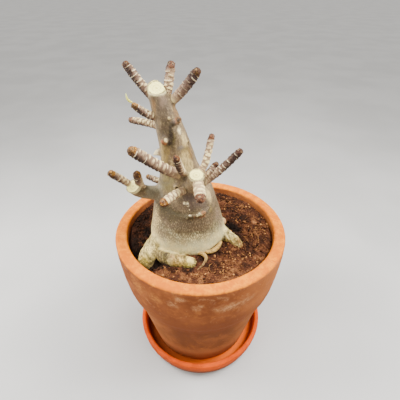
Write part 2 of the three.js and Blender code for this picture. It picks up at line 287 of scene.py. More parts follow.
class Paint:
    # a material that is being made, with its nodes and the codes of its named colours

    def __init__(self, name, look):
        self.look = look
        self.material = bpy.data.materials.new(name)
        self.material.use_nodes = True
        self.nodes = self.material.node_tree.nodes
        self.links = self.material.node_tree.links
        self.nodes.clear()
        self.surface = self.nodes.new("ShaderNodeBsdfPrincipled")
        end = self.nodes.new("ShaderNodeOutputMaterial")
        self.links.new(self.surface.outputs[0], end.inputs["Surface"])
        metres = self.node("ShaderNodeTexCoord", output="Object")
        self.place = self.vector("SCALE", {0: metres, "Scale": 1 / mm})
        self.wobbling = None

    def node(self, kind, settings=None, inputs=None, output=0):
        made = self.nodes.new(kind)
        for key, value in (settings or {}).items():
            if key == "stops":
                self.setStops(made.color_ramp, value)
            else:
                setattr(made, key, value)
        for key, value in (inputs or {}).items():
            self.join(value, made.inputs[key])
        return Wire(self, made.outputs[output])

    def join(self, value, socket):
        if isinstance(value, Wire):
            self.links.new(value.socket, socket)
        elif isinstance(value, str):
            socket.default_value = tint(self.look[value])
        else:
            socket.default_value = value

    def setStops(self, ramp, stops):
        while len(ramp.elements) < len(stops):
            ramp.elements.new(0.5)
        for element, (position, code) in zip(ramp.elements, stops):
            element.position = position
            element.color = tint(code)

    def vector(self, operation, inputs, output=0):
        return self.node("ShaderNodeVectorMath", {"operation": operation}, inputs, output)

    def coordinate(self, axis):
        return self.node("ShaderNodeSeparateXYZ", None, {0: self.place}, output=axis)

    def stretched(self, x, y, z):
        return self.vector("MULTIPLY", {0: self.place, 1: (x, y, z)})

    def noise(self, size, detail=2, place=None, distortion=0.0, rough=0.55):
        sockets = {"Vector": place or self.place, "Scale": 1 / size, "Detail": detail}
        sockets.update({"Roughness": rough, "Distortion": distortion})
        return self.node("ShaderNodeTexNoise", None, sockets)

    def cells(self, size, feature="F1", place=None):
        sockets = {"Vector": place or self.place, "Scale": 1 / size}
        return self.node("ShaderNodeTexVoronoi", {"feature": feature}, sockets, "Distance")

    def bent(self, place, reach):
        # the same places pushed about by noise, in millimetres
        push = self.vector("SUBTRACT", {0: self.wobble(), 1: (0.5, 0.5, 0.5)})
        push = self.vector("SCALE", {0: push, "Scale": reach})
        return self.vector("ADD", {0: place, 1: push})

    def wobble(self):
        if not self.wobbling:
            sockets = {"Vector": self.place, "Scale": 0.14, "Detail": 6, "Roughness": 0.62}
            self.wobbling = self.node("ShaderNodeTexNoise", None, sockets, "Color")
        return self.wobbling

    def stain(self, at, wide, tall, core=0.6):
        # a ragged spot round a place, which fades at its edge
        here = self.bent(self.stretched(1, 1, 1 / tall), wide * 1.8)
        away = self.vector("DISTANCE", {0: here, 1: (at[0], at[1], at[2] / tall)}, "Value")
        return self.fade(away, wide * core, wide * 1.35)

    def ease(self, value, low, high, start=0.0, end=1.0):
        sockets = {"Value": value, "From Min": low, "From Max": high, "To Min": start, "To Max": end}
        return self.node("ShaderNodeMapRange", {"interpolation_type": "SMOOTHSTEP"}, sockets)

    def fade(self, value, low, high):
        return self.ease(value, low, high, 1, 0)

    def mark(self, name):
        return self.node("ShaderNodeAttribute", {"attribute_name": name}, output="Fac")

    def ramp(self, value, stops):
        return self.node("ShaderNodeValToRGB", {"stops": stops}, {0: value})

    def blend(self, factor, a, b):
        settings = {"data_type": "RGBA", "blend_type": "MIX", "clamp_result": False}
        return self.node("ShaderNodeMix", settings, {0: factor, 6: a, 7: b}, output=2)

    def layers(self, colour, *coats):
        # lays coats over a colour, each with its mask
        for mask, coat in coats:
            colour = self.blend(mask, colour, coat)
        return colour

    def bump(self, height, depth, under=None):
        # depth in millimetres, as a number or a mask
        sockets = {"Height": height, "Distance": mm, "Strength": 1.0}
        if isinstance(depth, Wire):
            sockets["Height"] = height * depth
        else:
            sockets["Distance"] = depth * mm
        if under:
            sockets["Normal"] = under
        return self.node("ShaderNodeBump", None, sockets)

    def bumps(self, *reliefs):
        normal = None
        for height, depth in reliefs:
            normal = self.bump(height, depth, normal)
        return normal

    def finish(self, **sockets):
        for name, value in sockets.items():
            self.join(value, self.surface.inputs[name.replace("_", " ")])
        return self.material


# The pot and its saucer

saucer = {
    "height": 23, "footRadius": 70, "footEdge": 1.5, "rimRadius": 74.5, "wall": 5.6,
    "floor": 7.5, "rounding": 2.5, "innerRounding": 2.3, "sides": 240,
}
pot = {
    "base": 7.85, "height": 157, "rimRadius": 85, "lip": 11.5, "rounding": 2.7, "innerRounding": 2.4,
    "collar": [
        (74.2, 84.6), (75.4, 88), (77, 91.4), (78.6, 95), (79.9, 99.5), (81.2, 106.5), (82.6, 117),
        (84, 131), (84.9, 145),
    ],
    "footRadius": 58, "footEdge": 2, "creaseRadius": 73.4, "creaseHeight": 81,
    "floor": 11, "wall": 9, "drainRadius": 11, "sides": 256,
}


def saucerOutline():
    rim, foot, edge = saucer["rimRadius"], saucer["footRadius"], saucer["footEdge"]
    top, floor = saucer["height"], saucer["floor"]
    inner, hollow = rim - saucer["wall"], foot - saucer["wall"]
    outside, inside = saucer["rounding"], saucer["innerRounding"]
    return outline(
        (0, 0),
        (foot - edge, 0, 8),
        (foot - edge, edge, edge, -90, 0, 4),
        (rim - 0.9, top * 0.55, 10),
        (rim, top - outside - 0.6, 8),
        (rim - outside, top - outside, outside, 4, 90, 10),
        (inner + inside, top - inside, inside, 90, 176, 10),
        (hollow + 2.1, floor + 3.4, 12),
        (hollow + 0.9, floor + 1.1, 4),
        (hollow - 1.2, floor, 4),
        (0, floor, 14),
    )


def saucerUneven(r, a, z):
    far = r / saucer["rimRadius"]
    hand = 0.16 * np.sin(2 * a + 0.7) + 0.09 * np.sin(5 * a + z * 0.2)
    sag = 0.22 * np.sin(2 * a + 2.1) * smoothStep(12, 23, z)
    return r + far * hand * smoothStep(0, 4, z), z + sag


def potOutline():
    rim, foot, edge, drain = pot["rimRadius"], pot["footRadius"], pot["footEdge"], pot["drainRadius"]
    top, floor, wall = pot["height"], pot["floor"], pot["wall"]
    inner = rim - pot["lip"]
    outside, inside = pot["rounding"], pot["innerRounding"]
    points = outline(
        (drain + 0.8, 0),
        (foot - edge, 0, 8),
        (foot - edge, edge, edge, -90, 0, 5),
        (pot["creaseRadius"], pot["creaseHeight"], 24),
        (pot["collar"], 44),
        (rim - outside, top - outside, outside, 0, 90, 12),
        (inner + inside, top, 5),
        (inner + inside, top - inside, inside, 95, 180, 8),
        (inner - 0.6, top - 14, 10),
        (inner - 4, top - 62, 8),
        (foot - wall + 3, floor + 7, 10),
        (foot - wall - 4, floor, 4),
        (drain, floor, 6),
        (drain, 0.8, 4),
    )
    return [(r, z + pot["base"]) for r, z in points]


def potUneven(r, a, z):
    # thrown by a wheel and handled before it dried: slightly out of round, with faint rings
    up = smoothStep(pot["base"], pot["base"] + 60, z)
    hand = 0.22 * np.sin(2 * a + 1.1) + 0.1 * np.sin(3 * a - 0.4 + 0.02 * z)
    rings = 0.05 * np.sin(1.9 * z + 0.6 * np.sin(a)) + 0.04 * np.sin(0.83 * z + 1.3)
    flat = np.stack([30 * np.cos(a), 30 * np.sin(a), z], 2).reshape(-1, 3)
    lumps = 0.14 * unevenness(flat, 16, 11, 2).reshape(r.shape)
    lift = 0.16 * np.sin(2 * a + 0.4) * smoothStep(150, 162, z)
    return r + up * (hand + rings + lumps), z + lift


# crease is painted shade; deep and light are also used for painted shade and painted light, and foot is
# painted light bounced from the saucer
potLook = {
    "clay": "92532c", "deep": "764024", "light": "b06a36", "stain": "6a3c22", "bloom": "d49a68",
    "rim": "d87c02", "rimDeep": "c06202", "crease": "56301a", "speck": "4f2c1a", "foot": "a8643c",
    "straw": "c07c3a",
}
saucerLook = {
    "clay": "cc4c04", "deep": "a43a06", "light": "e06006", "dust": "7c4628", "silt": "50260e",
    "wet": "d05e12", "speck": "6c3016",
}
hazes = [
    # salt that has bloomed on the collar: where, how wide, how many times as tall as wide, colour
    ((30, -78.5, 142.5), 17, 0.4, "bloom"),
    ((20, -81.6, 140.4), 9, 0.6, "bloom"),
    ((42, -73, 143.5), 6, 0.6, "bloom"),
    ((-3.5, -84.3, 144.6), 4.4, 1, "bloom"),
    ((0, -84.6, 149), 3, 1, "bloom"),
    ((-23.5, -81.2, 147), 6, 0.9, "bloom"),
    ((-17, -83, 156.5), 6, 0.5, "bloom"),
    ((-40, -74.6, 146), 7, 1, "straw"),
    ((-55, -64, 149), 10, 1.2, "straw"),
    ((60, 55, 135), 14, 0.6, "bloom"),
    ((-40, 72, 130), 13, 0.7, "bloom"),
]


def potClay(p, z, clouds, mottle, soaked):
    # water has soaked through below the collar and left darker, brownish clouds
    low = p.fade(z + (clouds - 0.5) * 20, 84, 126) * p.ease(z, 22, 52)
    return p.layers(
        p.blend(p.ease(clouds, 0.36, 0.66), "deep", "clay"),
        (p.ease(mottle, 0.47, 0.7) * 0.5, "light"),
        (p.ease(soaked, 0.4, 0.62) * (low * 0.45 + 0.14) + low * 0.3, "stain"),
    )


def potSaltsAndLight(p, colour, z):
    # whitish haze, broken up by finer noise, and a paler right side that is painted light
    broken = p.ease(p.noise(3, 8, rough=0.82), 0.42, 0.6)
    for at, wide, tall, coat in hazes:
        colour = p.blend(p.stain(at, wide, tall, 0.1) * (broken * 0.55 + 0.08), colour, coat)
    scattered = p.ease(p.noise(17, 3, distortion=1.2), 0.56, 0.7) * p.ease(z, 98, 125)
    # painted light on the collar's right side
    beside = p.ease(p.coordinate("X"), 20, 75) * p.ease(z, 100, 125)
    return p.layers(colour, (scattered * broken * 0.3, "bloom"), (beside * 0.6, "light"))


def potLightAndShade(p, colour, z, clouds, soaked):
    # painted shade: a dark line in front where the collar begins, with a smudge of painted shade under it
    aside = (p.coordinate("X") + 5).put("ABSOLUTE")
    front = p.fade(aside + (clouds - 0.5) * 30, 10, 40) * p.fade(p.coordinate("Y"), -60, -40)
    line = p.ease(z, 84, 90) * p.fade(z, 94, 103)
    shadeSmudge = p.ease(z, 72, 88) * p.fade(z, 90, 104) * p.ease(soaked, 0.3, 0.55)
    # painted shade makes the lower collar darker, and painted light makes the body paler at both sides and,
    # as light bounced from the saucer, at the foot
    width = p.coordinate("X").put("ABSOLUTE")
    return p.layers(
        colour,
        ((line * 0.6 + shadeSmudge * 0.2) * front, "crease"),
        (p.ease(z, 84, 91) * p.fade(z, 106, 130) * 0.9, "deep"),
        (p.ease(width, 20, 60) * p.fade(z, 96, 130) * 0.4, "light"),
        (p.fade(z + (clouds - 0.5) * 12, 20, 48) * 0.7, "foot"),
    )


def paintTerracotta():
    p = Paint("terracotta", potLook)
    z = p.coordinate("Z")
    clouds = p.noise(26, 4, rough=0.6)
    mottle = p.noise(6, 5, rough=0.66, distortion=0.4)
    soaked = p.noise(15, 4, place=p.stretched(1, 1, 0.6), distortion=0.8)
    colour = potSaltsAndLight(p, potClay(p, z, clouds, mottle, soaked), z)
    # the rim is cleaner and brighter
    rim = p.ease(z + (mottle - 0.5) * 1.2, 162.5, 164.2)
    colour = p.blend(rim * 0.95, colour, p.blend(p.ease(mottle, 0.4, 0.65), "rimDeep", "rim"))
    colour = potLightAndShade(p, colour, z, clouds, soaked)
    specks = p.fade(p.cells(3.1), 0.1, 0.17) * p.ease(p.noise(6, 1), 0.56, 0.62)
    lime = p.fade(p.cells(4.3, place=p.stretched(1, 1, 1.4)), 0.07, 0.13) * p.ease(p.noise(9, 1), 0.55, 0.62)
    colour = p.layers(colour, (specks * 0.5, "speck"), (lime * 0.5, "bloom"))
    pits = p.ease(p.cells(2.4), 0.02, 0.2)
    rings = p.noise(1.3, 2, place=p.stretched(0.05, 0.05, 1))
    normal = p.bumps((p.noise(0.8, 4, rough=0.7), 0.16), (pits, 0.12), (rings, 0.16))
    rough = p.ease(mottle, 0.3, 0.7, 0.76, 0.94) - rim * 0.12
    return p.finish(Base_Color=colour, Roughness=rough, Normal=normal, Specular_IOR_Level=0.05)


def paintSaucerClay():
    p = Paint("saucerClay", saucerLook)
    z = p.coordinate("Z")
    clouds = p.noise(26, 4, rough=0.6)
    fine = p.noise(3.2, 5, rough=0.7)
    # brown, with painted shade inside, painted light on the floor at the right next to the pot, and duller
    # low down outside
    radius = p.vector("LENGTH", {0: p.stretched(1, 1, 0)}, "Value")
    inside = p.fade(radius + (fine - 0.5) * 1.5, 66.5, 69.5) * p.fade(z, 15, 21)
    right = p.ease(p.coordinate("X") - p.coordinate("Y") * 0.4, -20, 50)
    # painted light on the floor at the right next to the pot; the rest inside is painted shade
    litFloor = right * (1 - p.ease(radius, 62, 66.5, 0, 0.75))
    dots = p.fade(p.cells(3.4), 0.1, 0.17) * p.ease(p.noise(7, 1), 0.55, 0.62)
    colour = p.layers(
        p.blend(p.ease(clouds, 0.34, 0.68), "deep", "clay"),
        (p.ease(fine, 0.5, 0.75) * 0.35, "light"),
        (inside * 0.85, p.blend(litFloor, "silt", "wet")),
        (p.fade(z + (clouds - 0.5) * 6, 8, 19) * (1 - inside) * 0.85, "dust"),
        (p.ease(p.noise(12, 4, distortion=0.7), 0.55, 0.72) * 0.25, "dust"),
        (dots * 0.5, "speck"),
    )
    rings = p.noise(1.1, 2, place=p.stretched(0.05, 0.05, 1))
    normal = p.bumps((p.noise(0.7, 4, rough=0.7), 0.12), (rings, 0.12))
    rough = p.ease(clouds, 0.3, 0.7, 0.55, 0.72)
    return p.finish(Base_Color=colour, Roughness=rough, Normal=normal, Specular_IOR_Level=0.06)


def makePotAndSaucer():
    dish = turned("saucerDish", saucerOutline(), saucer["sides"], saucerUneven)
    finishPiece(dish, paintSaucerClay(), "saucer_terracotta", "saucer")
    body = turned("clayPot", potOutline(), pot["sides"], potUneven)
    finishPiece(body, paintTerracotta(), "terracotta", "pot")


# The plant's shape: stem, roots and cut branches are one field of distances, and shoots are joined to it

stem = {
    "path": [
        (-13, 2, 108), (-13, 2, 128), (-13, 1.5, 146), (-14, 1, 162), (-13.3, 1, 187), (-14.4, 1, 210),
        (-18.6, 2, 230), (-21, 2, 250), (-25.4, 2, 270), (-31, 2, 290), (-38, 2, 311),
    ],
    "thick": [8, 38, 70, 72, 65.3, 49.5, 35.5, 28, 23.6, 17.6, 9.4],
    # for each bulge: direction in radians, breadth, place along the path, height there, share of the radius
    "swellings": [
        (-2.3, 0.5, 3.1, 0.8, 0.09), (-0.35, 0.45, 3, 0.8, 0.07), (2, 0.5, 3, 0.8, 0.08),
        (-1.1, 0.6, 5.2, 0.9, 0.16), (-2.9, 0.5, 5, 0.7, 0.1), (-0.1, 0.6, 5.3, 0.7, 0.09),
        (-0.15, 0.5, 4.2, 0.6, -0.045), (-1.15, 0.6, 2.95, 0.6, 0.08),
    ],
    # lines where the skin steps in above: direction, breadth, height, rise to the sides, depth, fade upwards
    "folds": [
        (-1.45, 1.05, 199, 3, 2.3, 12), (-1.0, 0.9, 181, 3, 0.4, 9), (-2.0, 0.8, 269, 2, 0.4, 4),
        (-1.2, 0.7, 275, 3, 0.4, 4), (-2.6, 0.6, 222, 4, 0.8, 6), (-0.9, 0.8, 254, 3, 0.4, 5),
        (-0.45, 0.5, 196, 5, 0.9, 8),
    ],
    "skirt": {"height": 160.4, "depth": 3.4},
    "cut": {"at": (-33.5, 1, 301.2), "slope": 31, "radius": 7.4, "lip": 0.45},
}
roots = [
    {"path": [(-26, -4, 163), (-38, -15.5, 162.6), (-46, -29, 160), (-50.2, -41, 156.8), (-51, -46, 147)],
     "thick": [24, 19, 17.4, 15.4, 12], "blend": 2.4},
    {"path": [
        (-36, -22, 159), (-36.5, -34.5, 158), (-26, -41.5, 158.5), (-15, -44.5, 158.3), (-9, -45.6, 157.6)],
     "thick": [12, 13.4, 13.6, 13.2, 12.4], "blend": 0.7},
    {"path": [(8, 0, 158), (19.5, -5, 160), (27.5, -13, 160.5), (35, -20.5, 159.5), (39.5, -25.5, 154)],
     "thick": [24, 16.5, 12.5, 10.5, 8.5], "blend": 3},
    {"path": [(-22, 28, 166), (-28, 38, 162), (-33, 47, 158), (-36, 53, 148)], "thick": [18, 12.5, 9.5, 5],
     "blend": 4},
]
rootlet = {
    "path": [
        (-3, -34.6, 160.6), (2, -37.8, 162.4), (5.2, -42.2, 161.8), (2.8, -48.4, 160.6), (-3.4, -55, 159),
    ],
    "thick": [4, 4, 3.1, 2.2, 1.2],
}
skinFlap = {
    "path": [(3.4, -35, 161.6), (9.6, -33.8, 161.2), (15.8, -28.6, 161.6), (20.4, -20.4, 162.8)],
    "thick": [4, 7.4, 7, 3],
}
cutBranches = [
    {"path": [(-7, -4, 203), (-6, -14, 219), (-4.4, -23, 232), (-3.4, -28, 241.6)],
     "thick": [23, 18.5, 14.6, 12.4], "facing": (0.02, -0.34, 0.94)},
    {"path": [(-24, 0, 208), (-39, -8, 211), (-50.5, -16, 217.5), (-57, -22, 227)],
     "thick": [18, 12.6, 12.4, 13], "facing": (-0.3, -0.5, 0.81)},
]
shoots = [dict(zip(("path", "thick", "dark", "gold"), row)) for row in (
    # path, thickness along it, how dark the bark between the scars is, how golden the tip
    ([(-33, 2, 289), (-44.4, 4, 301.6), (-56, 7, 316.6)], [8, 7.1, 6.8], 0.7, 0.55),
    ([(-28, 4, 290), (-25.8, 9, 298), (-22.8, 15, 315)], [8, 7.6, 7.4], 0.4, 0.05),
    ([(-25, 3, 288), (-14.5, 2.5, 298), (-2.5, 3, 312.5)], [7.8, 8, 7.6], 0.65, 0.7),
    ([(-29, 1, 277.6), (-40, -4, 281.6), (-50.5, -9, 291)], [7.2, 6.6, 5.2], 0.6, 0.9),
    ([(-26, 3, 265.8), (-41, 8, 269.6), (-59.4, 13, 271.4)], [6.8, 6.2, 5.6], 0.35, 0.3),
    ([(-13, -8, 227), (-31, -21, 244), (-52.2, -29, 263.2)], [9.6, 9.2, 9], 0.55, 0.75),
    ([(-13, -9, 230), (-15.5, -22, 241.5), (-18.8, -32, 258.5)], [5.8, 6, 6], 0.45, 0.45),
    ([(-2.8, -25, 235.4), (-1.4, -36.5, 235), (0, -47.6, 232)], [9.8, 9.2, 9.2], 0.05, 0.05),
    ([(-2.6, -21, 236), (3.4, -17, 245), (9, -8, 266)], [7.2, 6.2, 5.6], 0.3, 0.05),
    ([(-1, -22, 233), (6, -20, 238), (13, -16, 245)], [5.4, 5.6, 5.2], 0.65, 0.3),
    ([(-2, -22, 227), (13, -20, 238.4), (31.5, -18, 257.4)], [7, 6.8, 6.2], 0.7, 0.35),
    ([(-57, -14, 219), (-63.6, -19, 229.5), (-71.8, -28, 243)], [6.8, 6.4, 6.2], 0.5, 0.8),
    ([(-49, -17, 219), (-51.4, -20.5, 229), (-51.2, -27, 242)], [6.8, 6.8, 6.6], 0.38, 0.65),
    ([(-27, 5, 209), (-39, 8, 213), (-50.5, 13, 215)], [6.2, 6, 5.4], 0.65, 0.7),
    ([(-11, -15, 220), (-19.5, -28, 223.5), (-30, -41, 223)], [7.8, 7.2, 8], 0.3, 0.6),
    ([(-23, 8, 255), (-28, 18, 257), (-33, 28, 262)], [6, 5.2, 4.6], 0.4, 0.5),
    ([(-15, 12, 211), (-18, 27, 215), (-20, 38, 224)], [7.4, 6.2, 5.6], 0.4, 0.5),
)]
knobs = [
    # where, radius, and the radius of the pit in it or 0
    ((-28.6, -10.6, 262.8), 3.3, 0),
    ((-20.8, -6.6, 276.4), 2.2, 0),
    ((-24.2, -8, 280.2), 1.3, 0.7),
    ((-17.5, -4, 277.7), 2.6, 1.6),
    ((-14.4, -26.8, 210.4), 1.4, 0),
    ((-11.3, -26.9, 210.8), 1.5, 0),
    ((-9.8, -28, 206.4), 1, 0),
    ((-20.8, -19, 223.4), 2.5, 1.4),
    ((-10.2, -3.5, 259.2), 1.5, 0.8),
    ((-12, -29.8, 198.8), 1.3, 0),
    ((-9.2, -29.6, 201), 1.5, 0),
    ((-7.2, -29.8, 200.4), 1.2, 0),
    ((-5.2, -30, 199.6), 1.5, 0.6),
    ((-3.2, -29.4, 201), 1.5, 0),
    ((-1.1, -28.6, 202), 1.8, 0),
    ((0.8, -28.4, 201), 1.5, 0),
    ((2.7, -27, 202), 2.1, 0),
    ((4.4, -25.6, 202.6), 1.4, 0),
    ((23, 9, 162.5), 4.2, 0),
]
brokenStub = {"path": [(-30, 1, 246.5), (-35.5, 1.5, 246.8), (-41, 2, 243.8)], "thick": [9, 6.4, 1.4]}
scarRidge = {
    "path": [
        (-14, -28.6, 198.8), (-8, -29, 200), (-2.6, -28.2, 200.8), (2.6, -26, 201.8), (7.4, -21.6, 204.6),
    ],
    "thick": [1.6, 3.4, 4.2, 4.2, 2],
}
field = {
    "voxel": 0.86, "low": (-66, -62, 146), "high": (52, 60, 308), "floor": 2,
    "blend": 4, "collarBlend": 2.2, "branchRoom": 18, "topRoom": 16,
}

stemPlaces = np.linspace(0, 1, 500)
stemLine = curveThrough(stem["path"], stemPlaces)
stemRadius = valuesThrough(stem["thick"], stemPlaces) / 2
stemSlope = np.gradient(stemRadius, stemLine[:, 2])


def limbLine(limb, steps=16):
    places = np.linspace(0, 1, steps + 1)
    return curveThrough(limb["path"], places), valuesThrough(limb["thick"], places) / 2


def limbDistance(points, line, radii):
    best = np.full(len(points), 1e3)
    for a, b, ra, rb in zip(line, line[1:], radii, radii[1:]):
        along = b - a
        t = np.clip((points - a) @ along / (along @ along), 0, 1)
        away = points - a - t[:, None] * along
        best = np.minimum(best, np.sqrt((away ** 2).sum(1)) - ra - t * (rb - ra))
    return best


def ballDistance(points, centre, radius):
    return np.sqrt(((points - centre) ** 2).sum(1)) - radius


def besideStem(points):
    # how far along X and Y the points lie from the stem's axis at their height
    return [points[:, i] - np.interp(points[:, 2], stemLine[:, 2], stemLine[:, i]) for i in (0, 1)]


def foldPlaces(angle, z):
    # for each fold: how far above it the places lie, how strong it is there, its depth and its fade
    for towards, breadth, at, rise, depth, fade in stem["folds"]:
        turn = turnBetween(angle, towards) / breadth
        yield z - at - rise * turn ** 2, np.exp(-(turn ** 2)), depth, fade


def stemDistance(points):
    z = points[:, 2]
    height = stemLine[:, 2]
    dx, dy = besideStem(points)
    radius = np.interp(z, height, stemRadius)
    reach = np.hypot(dx, dy)
    scale = np.ones(len(points))
    step = np.zeros(len(points))
    near = np.abs(reach - radius) < 10
    angle = np.arctan2(dy[near], dx[near])
    place = np.interp(z[near], height, stemPlaces) * (len(stem["path"]) - 1)
    uneven = 0.014 * np.sin(3 * angle + 2.2 * place) + 0.01 * np.sin(7 * angle - place)
    for towards, breadth, at, tall, amount in stem["swellings"]:
        turn = turnBetween(angle, towards)
        uneven = uneven + amount * np.exp(-((turn / breadth) ** 2) - ((place - at) / tall) ** 2)
    scale[near] += uneven
    fold = np.zeros(len(angle))
    for above, strength, depth, fade in foldPlaces(angle, z[near]):
        fold += depth * strength * smoothStep(-0.8, 2.2, above) * np.exp(-np.maximum(above, 0) / fade)
    step[near] = fold
    steep = 1 / np.sqrt(1 + np.interp(z, height, stemSlope) ** 2)
    tuck = stem["skirt"]["depth"] * (1 - smoothStep(-5, 0, z - stem["skirt"]["height"]))
    return (reach - radius * scale + step + tuck) * steep


def overCut(points, cut, normal):
    # how far the points lie above a cut's plane, and how far out as a share of its radius
    away = points - np.array(cut["at"])
    up = away @ normal
    return up, np.sqrt(np.maximum((away ** 2).sum(1) - up ** 2, 0)) / cut["radius"]


def cutDistance(points, cut, normal):
    # above the cut plane, whose wood lies a little lower than the callused bark round it
    up, out = overCut(points, cut, normal)
    callus = cut["lip"] * np.exp(-(((out - 0.97) / 0.13) ** 2))
    return up - callus + 0.25 * (1 - smoothStep(0.7, 0.9, out))


def stemCut():
    slope = math.radians(stem["cut"]["slope"])
    return stem["cut"], np.array([0, -math.sin(slope), math.cos(slope)])


def branchCut(branch):
    line, radii = limbLine(branch)
    facing = np.array(branch["facing"])
    cut = {"at": line[-1], "radius": radii[-1] * 1.04, "lip": 0.6}
    return cut, facing / np.linalg.norm(facing)


class DistanceField:
    def __init__(self):
        self.low = np.array(field["low"], float)
        self.count = np.ceil((np.array(field["high"]) - self.low) / field["voxel"]).astype(int) + 1
        self.values = np.full(self.count, 1e3, np.float32)

    def window(self, low, high):
        first = np.clip(np.floor((low - self.low) / field["voxel"]).astype(int), 0, self.count - 1)
        last = np.clip(np.ceil((high - self.low) / field["voxel"]).astype(int) + 1, 1, self.count)
        axes = [self.low[i] + field["voxel"] * np.arange(first[i], last[i]) for i in range(3)]
        points = np.stack(np.meshgrid(*axes, indexing="ij"), 3).reshape(-1, 3)
        return tuple(slice(a, b) for a, b in zip(first, last)), points

    def change(self, around, room, distance, join):
        # joins new distances to the old ones, in the box round some places and that much room
        around = np.atleast_2d(np.asarray(around, float))
        part, points = self.window(around.min(0) - room, around.max(0) + room)
        old = self.values[part]
        self.values[part] = join(old.ravel(), distance(points)).reshape(old.shape)

    def addLimb(self, line, radii, softness):
        own = partial(limbDistance, line=line, radii=radii)
        self.change(line, radii.max() + softness + 1, own, partial(softMin, softness=softness))

    def surface(self):
        grid = openvdb.FloatGrid(background=1e3)
        grid.copyFromArray(self.values)
        points, quads = grid.convertToQuads(isovalue=0.0)
        return points.astype(float) * field["voxel"] + self.low, quads


def addCutBranch(f, branch):
    line, radii = limbLine(branch)
    cut, normal = branchCut(branch)
    whole = np.vstack([line, line[-1] + 4 * (line[-1] - line[-2])])
    thick = np.append(radii, radii[-1] * 0.98)

    def ended(points):
        return softMax(limbDistance(points, whole, thick), cutDistance(points, cut, normal), 0.5)

    f.change(whole, field["branchRoom"], ended, partial(softMin, softness=field["blend"]))


def addShootCollar(f, shoot):
    # the skin swells softly where a shoot begins
    line, radii = limbLine(shoot, 12)
    taper = np.linspace(1.15, 0.75, 4)
    f.addLimb(line[:len(taper)], radii[:len(taper)] * taper, field["collarBlend"])


def addKnob(f, at, size, hole):
    softness = min(1.6, 0.5 * size)
    ball = partial(ballDistance, centre=at, radius=size)
    f.change(at, size + softness + 1, ball, partial(softMin, softness=softness))
    if hole:
        # a pit in the knob's outer side
        x, y = besideStem(np.array([at]))
        out = np.array([x[0], y[0], 0])
        pit = np.array(at) + out / np.linalg.norm(out) * size * 0.9
        dig = partial(softMax, softness=0.6)
        f.change(pit, hole + 2, lambda points: -ballDistance(points, pit, hole), dig)


def bodyField():
    f = DistanceField()
    everywhere = [field["low"], field["high"]]
    f.change(everywhere, 0, stemDistance, lambda old, new: new)
    for root in roots:
        f.addLimb(*limbLine(root), root["blend"])
    for branch in cutBranches:
        addCutBranch(f, branch)
    for shoot in shoots:
        addShootCollar(f, shoot)
    f.addLimb(*limbLine(scarRidge), 1.2)
    f.addLimb(*limbLine(brokenStub), 0.8)
    for knob in knobs:
        addKnob(f, *knob)
    cut, normal = stemCut()
    top = partial(cutDistance, cut=cut, normal=normal)
    f.change(cut["at"], field["topRoom"], top, partial(softMax, softness=0.5))
    f.change(everywhere, 0, lambda points: field["low"][2] + field["floor"] - points[:, 2], np.maximum)
    return f


def rootShare(points):
    nearest = np.min([limbDistance(points, *limbLine(root)) for root in roots], axis=0)
    ragged = 2.2 * unevenness(points, 3, 9, 2)
    share = smoothStep(-3, 5, stemDistance(points) - nearest + ragged)
    return share * (1 - smoothStep(168, 177, points[:, 2]))


def rootRidges(points):
    # skin in folds across each root, a little aslant: 1 on a fold, 0 in the furrow
    best = np.full(len(points), 1e3)
    ridges = np.zeros(len(points))
    for i, root in enumerate(roots):
        line, radii = limbLine(root, 40)
        away = ((points[:, None] - line[None]) ** 2).sum(2)
        nearest = away.argmin(1)
        lengths = np.append(0, np.cumsum(np.linalg.norm(np.diff(line, axis=0), axis=1)))
        ahead = np.gradient(line, axis=0)[nearest]
        ahead /= np.linalg.norm(ahead, axis=1)[:, None]
        along = lengths[nearest] + ((points - line[nearest]) * ahead).sum(1)
        tilted = along + 0.45 * (points[:, 2] - line[nearest, 2])
        place = np.stack([tilted, 0.22 * points[:, 0] + 30 * i, 0.22 * points[:, 1]], 1)
        value = 1 - np.abs(unevenness(place, 1.15, 12 + i)) / 0.45
        distance = np.sqrt(away.min(1)) - radii[nearest]
        ridges = np.where(distance < best, value, ridges)
        best = np.minimum(best, distance)
    return np.clip(1 - ridges, 0, 1)


def cutMarks(points):
    # which places are bare wood, how far out on the cut they lie, and where bark has grown round it
    wood = np.zeros(len(points))
    callus = np.zeros(len(points))
    across = np.ones(len(points))
    for cut, normal in [stemCut()] + [branchCut(branch) for branch in cutBranches]:
        up, out = overCut(points, cut, normal)
        near = np.abs(up) < 2.2
        wood = np.maximum(wood, near * (1 - smoothStep(0.84, 0.94, out)))
        callus = np.maximum(callus, near * smoothStep(0.84, 0.94, out) * smoothStep(1.12, 0.98, out))
        across = np.where(near & (out < 1.5), out, across)
    return {"cut": wood, "across": across, "callus": callus}


def foldMarks(points):
    # the shaded line under each fold of the skin
    dx, dy = besideStem(points)
    shade = np.zeros(len(points))
    for above, strength, depth, fade in foldPlaces(np.arctan2(dy, dx), points[:, 2]):
        line = np.exp(-((above - 0.8) / 1.5) ** 2)
        shade = np.maximum(shade, strength * line * min(1, 0.4 + 0.4 * depth))
    return shade


markNames = (
    "root", "ridge", "papery", "cut", "across", "callus", "fold", "pale", "tip", "shoot", "dark", "gold",
)


def plainMarks(count, **marks):
    # every mark for that many points, at 0 where it isn't given
    return {mark: marks.get(mark, 0) * np.ones(count) for mark in markNames}


